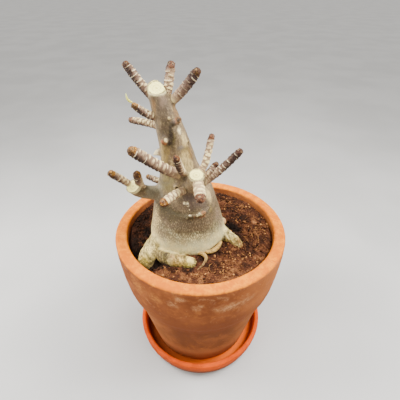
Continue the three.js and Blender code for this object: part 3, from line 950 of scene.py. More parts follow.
def bodyMesh():
    points, quads = bodyField().surface()
    made = newObject("desertRose", points, quads)
    normals = np.empty(len(points) * 3, np.float32)
    made.data.vertices.foreach_get("normal", normals)
    root = rootShare(points)
    cuts = cutMarks(points)
    swell = 0.34 * unevenness(points, 10, 3, 2) + 0.16 * unevenness(points * [1, 1, 0.6], 2.6, 5)
    ridge = np.zeros(len(points))
    low = points[:, 2] < 180
    ridge[low] = rootRidges(points[low])
    knotty = 0.34 * unevenness(points, 7, 7, 2) + 0.12 * unevenness(points * [1, 1, 1.6], 2.2, 8, 2)
    knotty = knotty + 0.12 * (ridge - 0.6)
    bark = (1 - root) * swell + root * knotty
    points = points + normals.reshape(-1, 3) * (bark * (1 - cuts["cut"]))[:, None]
    made.data.vertices.foreach_set("co", (points * mm).astype(np.float32).ravel())
    setMarks(made.data, plainMarks(len(points), root=root, ridge=ridge, fold=foldMarks(points), **cuts))
    made.data.update()
    return made


# Shoots: rings of leaf scars in a spiral, raised towards the tip, with a few buds round the end

scars = {
    "apart": 0.14, "tall": 1.1, "wide": 1.05, "stand": 0.72, "sides": 28, "step": 0.42, "taper": 0.14,
    # the sun direction sets the painted light and painted shade on the shoots
    "tip": 3.4, "sun": (0.45, -0.1, 0.88), "buds": 5, "seed": 100,
}


def scarRelief(at, angle, length, apart, rng):
    # how far the leaf scars stand out, and where their pale lips are
    height = np.zeros(at.shape)
    pale = np.zeros(at.shape)
    first = 0.08 * length
    count = int((length - first) / apart)
    for i in range(count):
        share = (i + 0.5) / count
        centre = first + (length - first) * (1 - (1 - share) ** 1.12) + rng.normal(0, 0.1)
        up = (at - centre) / scars["tall"]
        side = turnBetween(angle, i * golden + rng.normal(0, 0.15))
        side = side / (scars["wide"] * rng.uniform(0.8, 1.15))
        lip = np.exp(-(((up + 0.35 - 0.5 * side ** 2) / 0.46) ** 2)) * smoothStep(1.1, 0.7, np.abs(side))
        pad = smoothStep(0, 0.6, 1 - (up - 0.3) ** 2 - side ** 2)
        grown = 0.16 + 0.84 * smoothStep(0.1, 0.6, share)
        height = np.maximum(height, grown * np.maximum(lip * rng.uniform(0.75, 1), 0.5 * pad))
        pale = np.maximum(pale, lip * rng.uniform(0.45, 1) * (0.35 + 0.65 * grown))
    return height, pale


def shootLine(shoot):
    # a shoot's axis with a dome at its end: points, radii, places along it, length, end radius and direction
    rough = curveThrough(shoot["path"], np.linspace(0, 1, 60))
    length = np.linalg.norm(np.diff(rough, axis=0), axis=1).sum()
    places = np.linspace(0, 1, int(length / scars["step"]))
    line = curveThrough(shoot["path"], places)
    radii = valuesThrough(shoot["thick"], places) / 2
    radii *= 1 - scars["taper"] * smoothStep(length - scars["tip"], length, places * length)
    end = radii[-1]
    ahead = line[-1] - line[-2]
    ahead /= np.linalg.norm(ahead)
    dome = np.linspace(0, math.pi / 2, 8)[1:]
    rise = 0.8 * end * np.sin(dome)
    line = np.vstack([line, line[-1] + np.outer(rise, ahead)])
    radii = np.append(radii, end * np.maximum(np.cos(dome), 0.05) ** 0.8)
    return line, radii, np.append(places * length, length + rise), length, end, ahead


def withEnds(values):
    # values of a swept tube's rows, with those of its two end points
    return np.concatenate([[values[0, 0]], values.ravel(), [values[-1, -1]]])


def shootMarks(shoot, seed, line, corners, along, length, pale, groove):
    centres = np.vstack([line[:1], np.repeat(line, scars["sides"], 0), line[-1:]])
    out = corners - centres
    out /= np.maximum(np.linalg.norm(out, axis=1), 1e-6)[:, None]
    # painted light and shade: the side facing the sun direction is paler, the side away from it darker
    sun = out @ np.array(scars["sun"]) + 0.3 * unevenness(corners, 1.6, seed)
    share = along / length
    shade = smoothStep(-0.55, 0.75, 1.3 * (share - 0.5) + 1.5 * (shoot["dark"] - 0.5) - 0.75 * sun)
    shade = np.maximum(shade, (0.3 + 0.45 * shoot["dark"]) * groove * smoothStep(0.1, 0.4, share))
    tip = smoothStep(length - scars["tip"], length - 0.6, along)
    young = smoothStep(0.04, 0.2, share)
    return plainMarks(len(corners), pale=pale, tip=tip, shoot=young, dark=shade, gold=shoot["gold"])


def shootMesh(name, shoot, seed):
    rng = np.random.default_rng(seed)
    line, radii, at, length, end, ahead = shootLine(shoot)
    angles = 2 * math.pi * np.arange(scars["sides"]) / scars["sides"]
    s, a = np.meshgrid(at, angles, indexing="ij")
    height, pale = scarRelief(s, a, length, scars["apart"] * 2 * radii.mean(), rng)
    groove = 1 - smoothStep(0.05, 0.5, height)
    fade = np.minimum(radii / end, 1)[:, None]
    wave = 0.06 * np.sin(3 * a + rng.uniform(0, 6)) + 0.035 * rng.normal(size=s.shape)
    corners, faces = sweep(line, radii, scars["sides"], (height * scars["stand"] - 0.3 + wave) * fade)
    marks = shootMarks(shoot, seed, line, corners, withEnds(s), length, withEnds(pale), withEnds(groove))
    parts = [newObject(name, corners, faces, marks)]
    for j in range(scars["buds"]):
        angle = j * golden + rng.uniform(0, 1)
        parts.append(budMesh(f"{name}Bud{j}", line[-8], ahead, end, angle, shoot["gold"], rng))
    return parts


def budMesh(name, centre, ahead, radius, angle, gold, rng):
    across = np.cross(ahead, [0.3, 0.5, 0.8])
    across /= np.linalg.norm(across)
    side = math.cos(angle) * across + math.sin(angle) * np.cross(ahead, across)
    size = radius * rng.uniform(0.24, 0.34)
    start = centre + side * radius * 0.55 - ahead * 0.3 * radius
    tip = start + (ahead * 0.85 + side * 0.4) * radius * rng.uniform(0.7, 1.05)
    t = np.linspace(0, 1, 7)
    line = start + t[:, None] * (tip - start)
    corners, faces = sweep(line, size * np.sqrt(np.maximum(1 - t ** 2.4, 0.02)), 8)
    tone = rng.uniform(0, 1)
    marks = plainMarks(len(corners), pale=tone, tip=1, shoot=1, dark=1 - tone, gold=gold)
    return newObject(name, corners, faces, marks)


def limbMesh(name, limb, sides, flat=1.0):
    line, radii = limbLine(limb, 40)
    fromEnd = np.minimum(np.arange(len(line)), np.arange(len(line))[::-1])
    ends = np.sqrt(np.clip(fromEnd / 3 + 0.08, 0, 1))
    angles = 2 * math.pi * np.arange(sides) / sides
    section = flat + (1 - flat) * np.abs(np.sin(angles + 0.9))
    corners, faces = sweep(line, np.zeros(len(line)), sides, (radii * ends)[:, None] * section)
    return newObject(name, corners, faces, plainMarks(len(corners), root=1, papery=1, ridge=1))


def joinTo(body, parts):
    # one closed skin round the body and its parts, which then go
    holder = bpy.data.collections.new("joined")
    bpy.context.scene.collection.children.link(holder)
    for part in parts:
        holder.objects.link(part)
    union = body.modifiers.new("joined", "BOOLEAN")
    union.operation = "UNION"
    union.solver = "MANIFOLD"
    union.operand_type = "COLLECTION"
    union.collection = holder
    joined = bpy.data.meshes.new_from_object(body.evaluated_get(bpy.context.evaluated_depsgraph_get()))
    body.modifiers.clear()
    body.data = joined
    for part in parts:
        bpy.data.objects.remove(part)
    bpy.data.collections.remove(holder)
    shadeSmooth(body.data)


def makePlant():
    body = bodyMesh()
    parts = []
    for i, shoot in enumerate(shoots):
        parts += shootMesh(f"shoot{i}", shoot, scars["seed"] + i)
    parts.append(limbMesh("rootlet", rootlet, 12))
    parts.append(limbMesh("skinFlap", skinFlap, 16, 0.3))
    joinTo(body, parts)
    finishPiece(body, paintBark(), "bark", "caudex_and_stems")


# The plant's colours

barkLook = {
    # of the stem, the roots, the shoots and the cuts
    "grey": "806b4e", "warm": "60503a", "pale": "c8ae78", "wax": "d2c084", "waxCool": "beb484",
    "net": "4a3c2a", "root": "a88a3c", "rootPale": "e4ca78", "rootGreen": "665a24",
    "crack": "30240f", "lip": "f2dcae",
    "tipDark": "22100a", "wood": "fff294", "woodDark": "b8a748", "dirt": "463222", "shade": "42381f",
    "skin": "b08a44", "skinBrown": "6a4a2a", "callus": "e6d69a", "callusDark": "5a4420",
    # of single places
    "streak": "5c4632", "pinkGrey": "8e7660", "bleach": "e2c684", "darkStain": "2c2118",
    "darkOlive": "4c411a", "white": "fbe8b0", "gold": "a68a42", "greyBlue": "7c7470",
    "goldOlive": "766838", "mauve": "594940", "rust": "94501f", "cream": "fae29c", "mid": "675942",
    "taupe": "5a4a38", "umber": "4c3c2a", "tan": "b07c48", "oliveGrey": "8c8870",
    "umberDark": "281c0e", "tanGold": "8c5c1c", "lichen": "ccc08c", "peach": "cc8448",
    "yellowOlive": "8a7614",
}
barkStops = [(0.0, "e8d090"), (0.3, "a68a66"), (0.6, "6c5240"), (1.0, "2c1a13")]
tipStops = [(0.0, "5a3826"), (0.15, "96623c"), (0.4, "622f14"), (0.75, "9c661c"), (1.0, "bc8c38")]
barkMarks = [
    # stains, bleached places, painted highlights and painted shade: where, how wide, how many times as tall
    # as wide, colour, strength
    ((-37, -5, 294), 2.2, 2.6, "streak", 0.6),
    ((-35, -6.5, 285), 2.4, 2.5, "streak", 0.4),
    # painted shade on the front of the upper stem
    ((-29.5, -8, 288), 6.5, 1.7, "taupe", 0.85),
    ((-20, -1, 290), 3, 0.8, "darkStain", 0.8),
    ((-23.6, -10.4, 264.5), 3.4, 2, "darkOlive", 1),
    # painted shade on the front of the upper stem
    ((-27, -10, 270), 5.5, 1.8, "umber", 0.85),
    # painted highlight
    ((-12.6, -6, 262), 3.6, 2.6, "bleach", 0.65),
    ((-10.2, -4.2, 258), 0.9, 1.2, "darkStain", 0.9),
    ((-12, -8.4, 251.5), 4.6, 1.6, "gold", 0.7),
    ((-16, -10, 256), 3.6, 0.5, "greyBlue", 0.6),
    ((-31, -9, 250), 5.5, 2.2, "gold", 0.65),
    ((-30, -13, 226), 9, 1.2, "goldOlive", 0.8),
    ((-10.5, -11, 240), 5.6, 1.2, "bleach", 1),
    # painted shade in the hollow under the shoots and cut branch, and between them and the stem
    ((-9.5, -19, 229), 3.4, 2.2, "mauve", 0.95),
    ((-7, -25.5, 213), 10, 0.9, "mauve", 0.9),
    ((3, -24, 208), 5, 1, "mauve", 0.8),
    ((-12.2, -28.4, 208.8), 3.2, 1, "umber", 0.5),
    ((-14.1, -25.7, 211.4), 1.5, 1.2, "white", 0.9),
    ((-13.9, -26.5, 208.7), 1.4, 1.2, "cream", 0.9),
    ((-11.4, -26, 212), 1.4, 1.5, "white", 0.95),
    ((-11.3, -26.7, 209.1), 1.6, 1.2, "white", 0.95),
    ((-12.7, -27, 207.1), 1.2, 1, "umber", 0.8),
    ((-9.6, -29, 206.3), 0.9, 1, "cream", 0.9),
    ((-8, -30.4, 197.4), 4.4, 0.35, "darkOlive", 0.9),
    ((2, -28.6, 198.2), 4.4, 0.35, "rust", 0.8),
    ((-12, -31, 199.4), 1.3, 1.2, "white", 0.95),
    ((-9.2, -31, 202), 1.5, 1.3, "white", 1),
    ((-7.2, -31, 201.4), 1.1, 1.3, "umber", 0.9),
    ((-3.2, -30.8, 202), 1.4, 1.4, "cream", 0.9),
    ((-1.1, -30, 203.2), 1.5, 1.5, "white", 1),
    ((0.8, -29.8, 202), 1.3, 1.4, "cream", 0.85),
    ((3, -28.8, 203), 2.3, 1, "peach", 1),
    ((-5.2, -31.6, 200.2), 1.5, 1.2, "rust", 1),
    ((-20.8, -21, 223.4), 3, 1, "bleach", 0.6),
    ((-20.6, -21, 223.8), 1.9, 1, "umberDark", 1),
    ((-12, -14, 237.5), 5, 1, "lichen", 0.9),
    ((-14, -12, 241), 8, 1.2, "bleach", 0.9),
    # painted highlight on the right flank
    ((8.5, -14, 213), 4.2, 2.4, "bleach", 0.8),
    ((10, -20, 201), 3.6, 1, "gold", 0.7),
    ((-32, -20, 201), 7.5, 0.9, "darkOlive", 0.9),
    ((-24, -27, 197.5), 8, 0.7, "darkOlive", 0.9),
    ((-14, -31, 196.5), 7, 0.45, "darkOlive", 0.7),
    ((-15, -31, 190), 11, 0.6, "mid", 0.6),
    ((5, -29, 189), 8, 0.9, "mid", 0.5),
    ((-38, 1, 246), 3.6, 1, "white", 0.9),
    ((-26.6, -13.4, 265), 2.2, 1, "bleach", 1),
    ((-30.8, -13, 261.6), 3.2, 1, "rust", 1),
    ((-31.6, -13.4, 260.6), 1.8, 1, "umberDark", 0.9),
    ((-44, -14, 214), 11, 1, "oliveGrey", 0.7),
    ((-49.5, -20.5, 221), 1.7, 1, "bleach", 0.9),
    ((-38.5, -18, 218), 2, 1, "bleach", 0.9),
    # the upper stem with its dark scar and knobs, then the belly's sides and the knob at the coir
    ((-18.6, -1.6, 284), 3.4, 2.2, "tanGold", 0.4),
    ((-36.8, -5, 290), 2.4, 2.4, "tanGold", 0.4),
    ((-8.4, -4.8, 251), 3.2, 2.4, "tanGold", 0.4),
    # painted highlight
    ((-29.5, -6.6, 296), 4.4, 1.6, "pinkGrey", 0.6),
    ((-15.8, -7.2, 270.4), 2.7, 1.3, "white", 1),
    # painted highlight
    ((-20.6, -6.6, 281.6), 1.6, 1, "bleach", 0.8),
    ((-24.2, -9, 281), 1.5, 1, "bleach", 0.8),
    ((-23.6, -9.4, 279), 1.2, 1, "umberDark", 1),
    ((-20.8, -8.8, 277), 2.8, 1, "mauve", 0.95),
    ((-17.4, -6, 277.8), 3, 1, "rust", 0.6),
    ((-17.3, -5.4, 277.8), 1.8, 1, "darkStain", 1),
    ((-22.8, -9.8, 275), 2, 1.3, "umberDark", 0.95),
    ((-23.7, -10.6, 270.5), 2, 2, "umberDark", 1),
    ((-24.3, -11.4, 264.8), 2.6, 1.7, "darkStain", 0.95),
    ((-25.2, -11.8, 261), 2.8, 0.9, "darkStain", 1),
    # the belly's left side: pale wax and a painted highlight
    ((-44, -17, 182), 8, 2.8, "bleach", 1),
    ((18.5, -12, 187), 5, 2.8, "pinkGrey", 0.7),
    ((25.5, 5, 164.5), 4.6, 1, "tan", 1),
    ((25, 3.5, 167), 1.3, 1, "umberDark", 0.8),
]
rootMarks = [
    # the same on the roots
    ((24, 7, 163), 5.4, 1, "tan", 0.9),
    ((28, -13, 165.4), 7, 1, "cream", 0.6),
    ((-50, -32, 166), 9, 1, "cream", 0.45),
    ((36, -23, 163.5), 4.5, 1, "tanGold", 0.7),
    ((30, -19, 161.5), 5, 0.6, "tanGold", 0.8),
    ((39.5, -25, 161), 4.2, 1, "tanGold", 0.9),
    ((23.4, -15.4, 163), 3.4, 0.8, "umber", 0.8),
    # painted shade on the left part of the front root, low down
    ((-35.5, -39.5, 163), 6.5, 1, "umber", 0.85),
    ((-30, -43.4, 161.8), 6, 0.9, "umber", 0.75),
    ((-25, -44.6, 162.6), 5, 0.7, "umber", 0.5),
    ((-18, -50.4, 158.8), 9.5, 0.6, "yellowOlive", 0.9),
    ((-20, -46.6, 163), 9, 0.6, "tan", 0.35),
    ((-9.5, -51, 159.4), 4.2, 0.7, "yellowOlive", 0.65),
    ((-51, -47.6, 159.2), 6.5, 0.7, "yellowOlive", 0.75),
    # painted shade where the two front roots meet
    ((-42.6, -38.4, 163.4), 3.2, 1.4, "umber", 0.6),
    ((-45.2, -45, 161), 3.2, 1.2, "umber", 0.55),
]


def barkSkin(p, g):
    # skin of the stem, waxy low down, with its stains, painted highlights and painted shade
    z, fine, broad = g["z"], g["fine"], g["broad"]
    wax = p.blend(p.ease(p.noise(6, 3), 0.4, 0.6), "wax", "waxCool")
    colour = p.layers(
        p.blend(p.ease(broad, 0.36, 0.62), "warm", "grey"),
        (p.ease(fine, 0.48, 0.7) * 0.55, "pale"),
        (p.fade(z + (broad - 0.5) * 34, 170, 190) * 0.92, wax),
    )
    broken = p.ease(fine, 0.3, 0.58, 0.6, 1)
    for at, wide, tall, coat, strength in barkMarks:
        colour = p.blend(p.stain(at, wide, tall) * broken * strength, colour, coat)
    # a fine net of wrinkles on the belly, drawn out upwards, and long wrinkles above it
    return p.layers(
        colour,
        (p.fade(g["net"], 0.03, 0.3) * (g["belly"] * 0.64 + 0.1), "net"),
        (p.fade(g["wrinkles"], 0.38, 0.55) * (g["upper"] * 0.4 + 0.1), "net"),
        (p.mark("fold") * p.ease(fine, 0.3, 0.55, 0.5, 0.95), "shade"),
        (p.ease(g["freckle"], 0.58, 0.7) * 0.3, "pale"),
        (p.fade(g["freckle"], 0.34, 0.44) * 0.3, "net"),
    )


def rootSkin(p, g):
    # cream and yellow, with furrows aslant, cracks and ridges, and papery brown on the thin parts
    z, fine, worn, ridge = g["z"], g["fine"], g["worn"], p.mark("ridge")
    colour = p.layers(
        p.blend(p.ease(p.noise(5, 4), 0.3, 0.66), "root", "rootPale"),
        (p.ease(p.noise(3.4, 4, rough=0.7), 0.55, 0.7) * 0.4, "rootGreen"),
        (p.fade(z + (fine - 0.5) * 6, 155, 162) * 0.7, "rootGreen"),
    )
    for at, wide, tall, coat, strength in rootMarks:
        colour = p.blend(p.stain(at, wide, tall) * strength, colour, coat)
    papery = p.layers(
        p.blend(p.ease(p.coordinate("Y"), -50, -40) * p.ease(z, 159.5, 162.5), "skinBrown", "skin"),
        (p.ease(fine, 0.45, 0.62) * 0.6, "skinBrown"),
    )
    return p.layers(
        colour,
        (p.fade(g["furrows"], 0.4, 0.52) * 0.6, "rootGreen"),
        (p.fade(g["furrows"], 0.34, 0.43) * 0.5, "crack"),
        (p.ease(ridge, 0.45, 0.1) * (worn * 0.3 + 0.12), "crack"),
        (p.ease(ridge + (fine - 0.5) * 0.8, 0.7, 0.95) * 0.25, "rootPale"),
        (g["cracks"] * (worn * 0.5 + 0.1), "crack"),
        (p.mark("papery") * 0.9, papery),
    )


def shootSkin(p, g):
    # pale on the side towards the light and darker on the side away from it, as painted light and painted
    # shade; dark between the pale lips of the scars, with brown to golden tips
    fine, freckle, dark = g["fine"], g["freckle"], p.mark("dark")
    bark = p.ramp(dark + (fine - 0.5) * 0.3 + (freckle - 0.5) * 0.3, barkStops)
    bark = p.blend(p.ease(p.mark("pale"), 0.4, 0.85) * p.ease(dark, 0, 1, 0.9, 0.72), bark, "lip")
    star = p.fade(p.cells(1.9, "DISTANCE_TO_EDGE", p.bent(p.place, 0.8)), 0.02, 0.16)
    tip = p.layers(
        p.ramp(p.mark("gold") + (p.noise(1.3, 3) - 0.5) * 1.8, tipStops),
        (star * 0.7, "tipDark"),
        (p.ease(dark + (freckle - 0.5) * 0.8, 0.5, 0.9) * 0.8, "tipDark"),
    )
    return p.blend(p.ease(p.mark("tip") + (fine - 0.5) * 0.9, 0.2, 0.7), bark, tip)


def cutWood(p, fine, across):
    # faint rings round a darker middle
    rings = (across * 19 + (fine - 0.5) * 7).put("SINE")
    return p.layers(
        p.blend(p.ease(rings, 0.3, 1) * p.fade(across, 0.5, 0.8) * 0.4, "wood", "woodDark"),
        (p.fade(across + (fine - 0.5) * 0.3, 0.05, 0.22) * 0.4, "woodDark"),
    )


def barkGrain(p):
    # the noises that both the colour and the relief of the bark use
    x, y, z = [p.coordinate(axis) for axis in "XYZ"]
    aslant = p.node("ShaderNodeCombineXYZ", None, {0: (x - z) * 0.1, 1: (x + z) * 0.8, 2: y * 0.2})
    return {
        "z": z,
        "broad": p.noise(13, 4, rough=0.6, distortion=0.5),
        "fine": p.noise(2.2, 5, rough=0.68),
        "freckle": p.noise(0.9, 3, place=p.stretched(1, 1, 0.5), rough=0.6),
        "net": p.cells(1.5, "DISTANCE_TO_EDGE", p.bent(p.stretched(1, 1, 0.4), 0.9)),
        "belly": p.ease(z, 167, 180) * p.fade(z, 202, 214),
        "wrinkles": p.noise(2.2, 4, place=p.stretched(1, 1, 0.16), rough=0.65),
        "upper": p.ease(z, 212, 232),
        "cracks": p.fade(p.cells(1.9, "DISTANCE_TO_EDGE", p.bent(p.place, 1.4)), 0.015, 0.2),
        "worn": p.ease(p.noise(6, 3), 0.4, 0.58),
        "furrows": p.noise(2.3, 2, place=aslant, rough=0.5),
    }


def paintBark():
    p = Paint("bark", barkLook)
    g = barkGrain(p)
    fine = g["fine"]
    root, cut, across, shoot = [p.mark(name) for name in ("root", "cut", "across", "shoot")]
    edge = p.ease(across, 0.8, 0.86) * p.fade(across, 0.88, 0.97)
    colour = p.layers(
        barkSkin(p, g),
        (root, rootSkin(p, g)),
        (shoot, shootSkin(p, g)),
        (p.mark("callus") * 0.65, "callus"),
        (cut, cutWood(p, fine, across)),
        (edge * p.ease(p.noise(3, 2), 0.36, 0.54, 0.15, 0.85), "callusDark"),
        (p.fade(g["z"] + (fine - 0.5) * 4, 157, 160.5) * 0.55, "dirt"),
    )
    normal = p.bumps(
        (fine, 0.4),
        (g["net"], g["belly"] * 0.5 + 0.08),
        (g["wrinkles"], g["upper"] * 0.6 + 0.1),
        (g["cracks"] * root * (g["worn"] + 0.3), -0.5),
        (g["furrows"], root * 1.1),
        (g["freckle"], 0.12),
    )
    rough = p.ease(fine, 0.3, 0.7, 0.48, 0.72) + root * 0.15 + shoot * 0.1
    return p.finish(Base_Color=colour, Roughness=rough, Normal=normal, Specular_IOR_Level=0.25)


# The one young leaf, folded along its middle

leaf = {
    "path": [(-51.2, -9.7, 293.2), (-53, -10.4, 294.2), (-54.4, -11, 296.6), (-54.6, -11.4, 300.5)],
    "broad": [1.4, 2.1, 1.7, 0.4], "fold": 0.7, "thick": 0.45, "rows": 26, "columns": 9,
}
leafLook = {"low": "c9b818", "high": "dde06a", "vein": "eef0a0"}


def leafMesh():
    rows = leaf["rows"]
    places = np.linspace(0, 1, rows)
    line = curveThrough(leaf["path"], places)
    broad = valuesThrough(leaf["broad"], places) / 2
    ahead = np.gradient(line, axis=0)
    ahead /= np.linalg.norm(ahead, axis=1)[:, None]
    side = np.cross(ahead, [0.2, 1, 0.1])
    side /= np.linalg.norm(side, axis=1)[:, None]
    face = np.cross(side, ahead)
    across = np.linspace(-1, 1, leaf["columns"])
    top = line[:, None] + (broad[:, None] * across)[..., None] * side[:, None]
    top = top + (leaf["fold"] * broad[:, None] * across ** 2)[..., None] * face[:, None]
    half = leaf["thick"] / 2 * (1 - 0.75 * across ** 2)[None, :, None]
    half = half * np.minimum(broad / 0.5, 1)[:, None, None]
    upper = top + half * face[:, None]
    lower = top - half * face[:, None]
    ring = np.concatenate([upper, lower[:, ::-1]], 1)
    sides = ring.shape[1]
    first = rows * sides
    corners = np.vstack([ring.reshape(-1, 3), ring[0].mean(0), ring[-1].mean(0)])
    faces = ringFaces(rows, sides) + endFaces(sides, (first, first + 1), (0, first - sides))
    made = newObject("youngLeaf", corners, faces)
    turnOutward(made)
    return made


def makeLeaf():
    p = Paint("youngLeaf", leafLook)
    veins = p.noise(0.8, 3, place=p.stretched(2, 2, 0.5))
    green = p.blend(p.ease(p.coordinate("Z"), 293, 300), "low", "high")
    green = p.blend(p.ease(veins, 0.4, 0.7) * 0.4, green, "vein")
    material = p.finish(Base_Color=green, Roughness=0.45, Normal=p.bump(veins, 0.08))
    finishPiece(leafMesh(), material, "leaf", "young_leaf")


# The coir: a rough surface that fills the pot, with crumbs, chips and fibres lying on it

soil = {
    "level": 159.35, "edgeDrop": 0.8, "mound": 1.6, "grain": 0.7, "grid": 300, "sunk": 1.9, "gap": 0.95,
    # where, how wide and how deep, or how high where it is below zero
    "hollows": [
        ((28.5, 4), 6, 4), ((36, 0.5), 6, 3.6), ((-39, -45), 5, 5), ((28, -38), 14, -1.6),
        ((-58, -34), 7, 4), ((-26, -49), 7, 2.6), ((-10, -52), 6, 1.5), ((-48, -10), 9, 1.8),
        ((24, -14), 5, 1.8), ((3, -40), 5, 1.4), ((-46, -50), 6, 5),
    ],
    # radius and height from under the edge down to the plug in the drain hole
    "below": [(69.15, 102.9), (51.6, 25.9), (44.6, 19.2), (10.6, 19.2), (10.6, 9.4)],
}
loose = {
    # the seed, how many are thrown, how far from the middle, and how far they may reach
    "crumbs": {"seed": 41, "count": 4200, "spread": 71, "reach": 72},
    "chips": {"seed": 51, "count": 26, "spread": 68, "reach": 72},
    "fibres": {"seed": 61, "count": 760, "spread": 64, "reach": 71},
}
coirStops = [(0.0, "100804"), (0.3, "2a160b"), (0.55, "4c2a18"), (0.8, "744a2a"), (1.0, "a87440")]


def hollowDepth(x, y):
    depth = 0
    for (hx, hy), wide, deep in soil["hollows"]:
        depth = depth + deep * np.exp(-((x - hx) ** 2 + (y - hy) ** 2) / wide ** 2)
    return depth


def soilHeight(x, y):
    r = np.hypot(x, y) / (pot["rimRadius"] - pot["lip"])
    waves = np.sin(0.9 * x + 1.7 * np.sin(0.5 * y)) * np.sin(0.8 * y + 1.3 * np.sin(0.6 * x))
    return soil["level"] + soil["mound"] * (1 - r * r) + soil["grain"] * waves - hollowDepth(x, y)


def onDisc(u, v):
    # a square from -1 to 1 pressed into a round disc, evenly
    big = np.where(np.abs(u) > np.abs(v), u, v)
    small = np.where(np.abs(u) > np.abs(v), v, u)
    turn = math.pi / 4 * small / np.where(big == 0, 1, big)
    turn = np.where(np.abs(u) > np.abs(v), turn, math.pi / 2 - turn)
    return big * np.cos(turn), big * np.sin(turn)


def soilTop():
    edge = pot["rimRadius"] - pot["lip"] - soil["gap"]
    u, v = np.meshgrid(*[np.linspace(-1, 1, soil["grid"])] * 2, indexing="ij")
    x, y = onDisc(u.ravel(), v.ravel())
    x, y = x * edge, y * edge
    flat = np.stack([x, y], 1)
    spot = np.stack([x, y, 0 * x], 1)
    rim = 1 - smoothStep(0.965, 1, np.hypot(x, y) / edge)
    rough = 1.3 * granules(flat, 2.9, 21) + 1.3 * granules(flat + 5, 1.5, 22)
    rough += 1.3 * unevenness(spot, 9, 23, 2) + 0.3 * unevenness(spot, 1.2, 24)
    z = soilHeight(x, y) - soil["sunk"] + rough * rim - (1 - rim) * soil["edgeDrop"]
    return np.stack([x, y, z], 1)


def makeSoil():
    n = soil["grid"]
    corners = soilTop()
    index = np.arange(n * n).reshape(n, n)
    quads = np.stack([index[:-1, :-1], index[1:, :-1], index[1:, 1:], index[:-1, 1:]], 2)
    faces = quads.reshape(-1, 4).tolist()
    border = np.concatenate([index[:-1, 0], index[-1, :-1], index[:0:-1, -1], index[0, :0:-1]])
    ring, angle = border, np.arctan2(corners[border, 1], corners[border, 0])
    for r, height in soil["below"]:
        new = np.arange(len(corners), len(corners) + len(border))
        row = np.stack([r * np.cos(angle), r * np.sin(angle), 0 * angle + height], 1)
        corners = np.vstack([corners, row])
        faces += [(ring[k], new[k], new[k - 1], ring[k - 1]) for k in range(len(border))]
        ring = new
    middle = len(corners)
    corners = np.vstack([corners, [[0, 0, soil["below"][-1][1]]]])
    faces += [(middle, ring[k - 1], ring[k]) for k in range(len(border))]
    # the coir is darker in its hollows: painted shade
    tone = 0.36 + 0.25 * unevenness(corners, 5, 25, 2) - 0.11 * hollowDepth(corners[:, 0], corners[:, 1])
    made = newObject("coirBed", corners, faces, {"tone": tone})
    turnOutward(made)
    return made


class Heap:
    # many small bodies in one mesh, each with its own tone, scattered on the coir and clear of the plant

    def __init__(self, settings):
        self.rng = np.random.default_rng(settings["seed"])
        self.shapeSeed = settings["seed"] + 1
        self.reach = settings["reach"]
        r = settings["spread"] * np.sqrt(self.rng.random(settings["count"]))
        a = self.rng.uniform(0, 2 * math.pi, settings["count"])
        self.places = list(zip(r * np.cos(a), r * np.sin(a)))
        self.corners, self.faces, self.tones = [], [], []
        self.total = 0

    def clear(self, points, distance):
        solid = stemDistance(points)
        for limb in roots + [rootlet, skinFlap]:
            solid = np.minimum(solid, limbDistance(points, *limbLine(limb)))
        return solid.min() >= distance

    def add(self, corners, faces, tone):
        self.corners.append(corners)
        self.faces += [[self.total + v for v in f] for f in faces]
        self.tones.append(np.full(len(corners), tone))
        self.total += len(corners)

    def make(self, name):
        return newObject(name, np.vstack(self.corners), self.faces, {"tone": np.concatenate(self.tones)})


def turnedAt(rng, corners):
    # corners turned at random about the origin
    q = rng.normal(size=4)
    w, i, j, k = q / np.linalg.norm(q)
    turn = np.array([
        [1 - 2 * (j * j + k * k), 2 * (i * j - k * w), 2 * (i * k + j * w)],
        [2 * (i * j + k * w), 1 - 2 * (i * i + k * k), 2 * (j * k - i * w)],
        [2 * (i * k - j * w), 2 * (j * k + i * w), 1 - 2 * (i * i + j * j)],
    ])
    return corners @ turn.T


def ballMesh(subdivisions):
    b = bmesh.new()
    bmesh.ops.create_icosphere(b, subdivisions=subdivisions, radius=1)
    corners = np.array([v.co[:] for v in b.verts])
    faces = [[v.index for v in f.verts] for f in b.faces]
    b.free()
    return corners, faces


def makeCrumbs():
    heap = Heap(loose["crumbs"])
    rng = heap.rng
    small, large = ballMesh(1), ballMesh(2)
    for x, y in heap.places:
        size = 0.32 + 1.15 * rng.random() ** 3
        centre = np.array([x, y, soilHeight(x, y) - 0.6 + 0.3 * size + rng.normal(0, 0.35)])
        if not heap.clear(centre[None], size + 0.2) or math.hypot(x, y) + size > heap.reach:
            continue
        base, faces = large if size > 1 else small
        shape = base * (1 + 0.3 * unevenness(base + rng.uniform(0, 50, 3), 0.8, heap.shapeSeed)[:, None])
        shape = turnedAt(rng, shape * [1, rng.uniform(0.55, 1), rng.uniform(0.4, 0.9)]) * size
        # crumbs in the hollows are darker: painted shade
        heap.add(shape + centre, faces, np.clip(rng.normal(0.46, 0.2) - 0.12 * hollowDepth(x, y), 0, 1))
    return heap.make("coirCrumbs")


def makeChips():
    heap = Heap(loose["chips"])
    rng = heap.rng
    base, faces = ballMesh(2)
    for x, y in heap.places:
        long = rng.uniform(1.1, 2.9)
        shape = base * [long, long * rng.uniform(0.25, 0.5), rng.uniform(0.25, 0.5)]
        shape = shape * (1 + 0.25 * unevenness(shape + rng.uniform(0, 50, 3), 1.5, heap.shapeSeed)[:, None])
        lean, spin = rng.normal(0, 0.35), rng.uniform(0, 2 * math.pi)
        shape[:, 2] += shape[:, 0] * math.tan(lean)
        c, s = math.cos(spin), math.sin(spin)
        shape = shape @ np.array([[c, s, 0], [-s, c, 0], [0, 0, 1]])
        centre = np.array([x, y, soilHeight(x, y) + 0.5])
        if heap.clear(centre[None], long + 0.4) and math.hypot(x, y) + long <= heap.reach:
            heap.add(shape + centre, faces, rng.uniform(0.6, 1))
    return heap.make("coirChips")


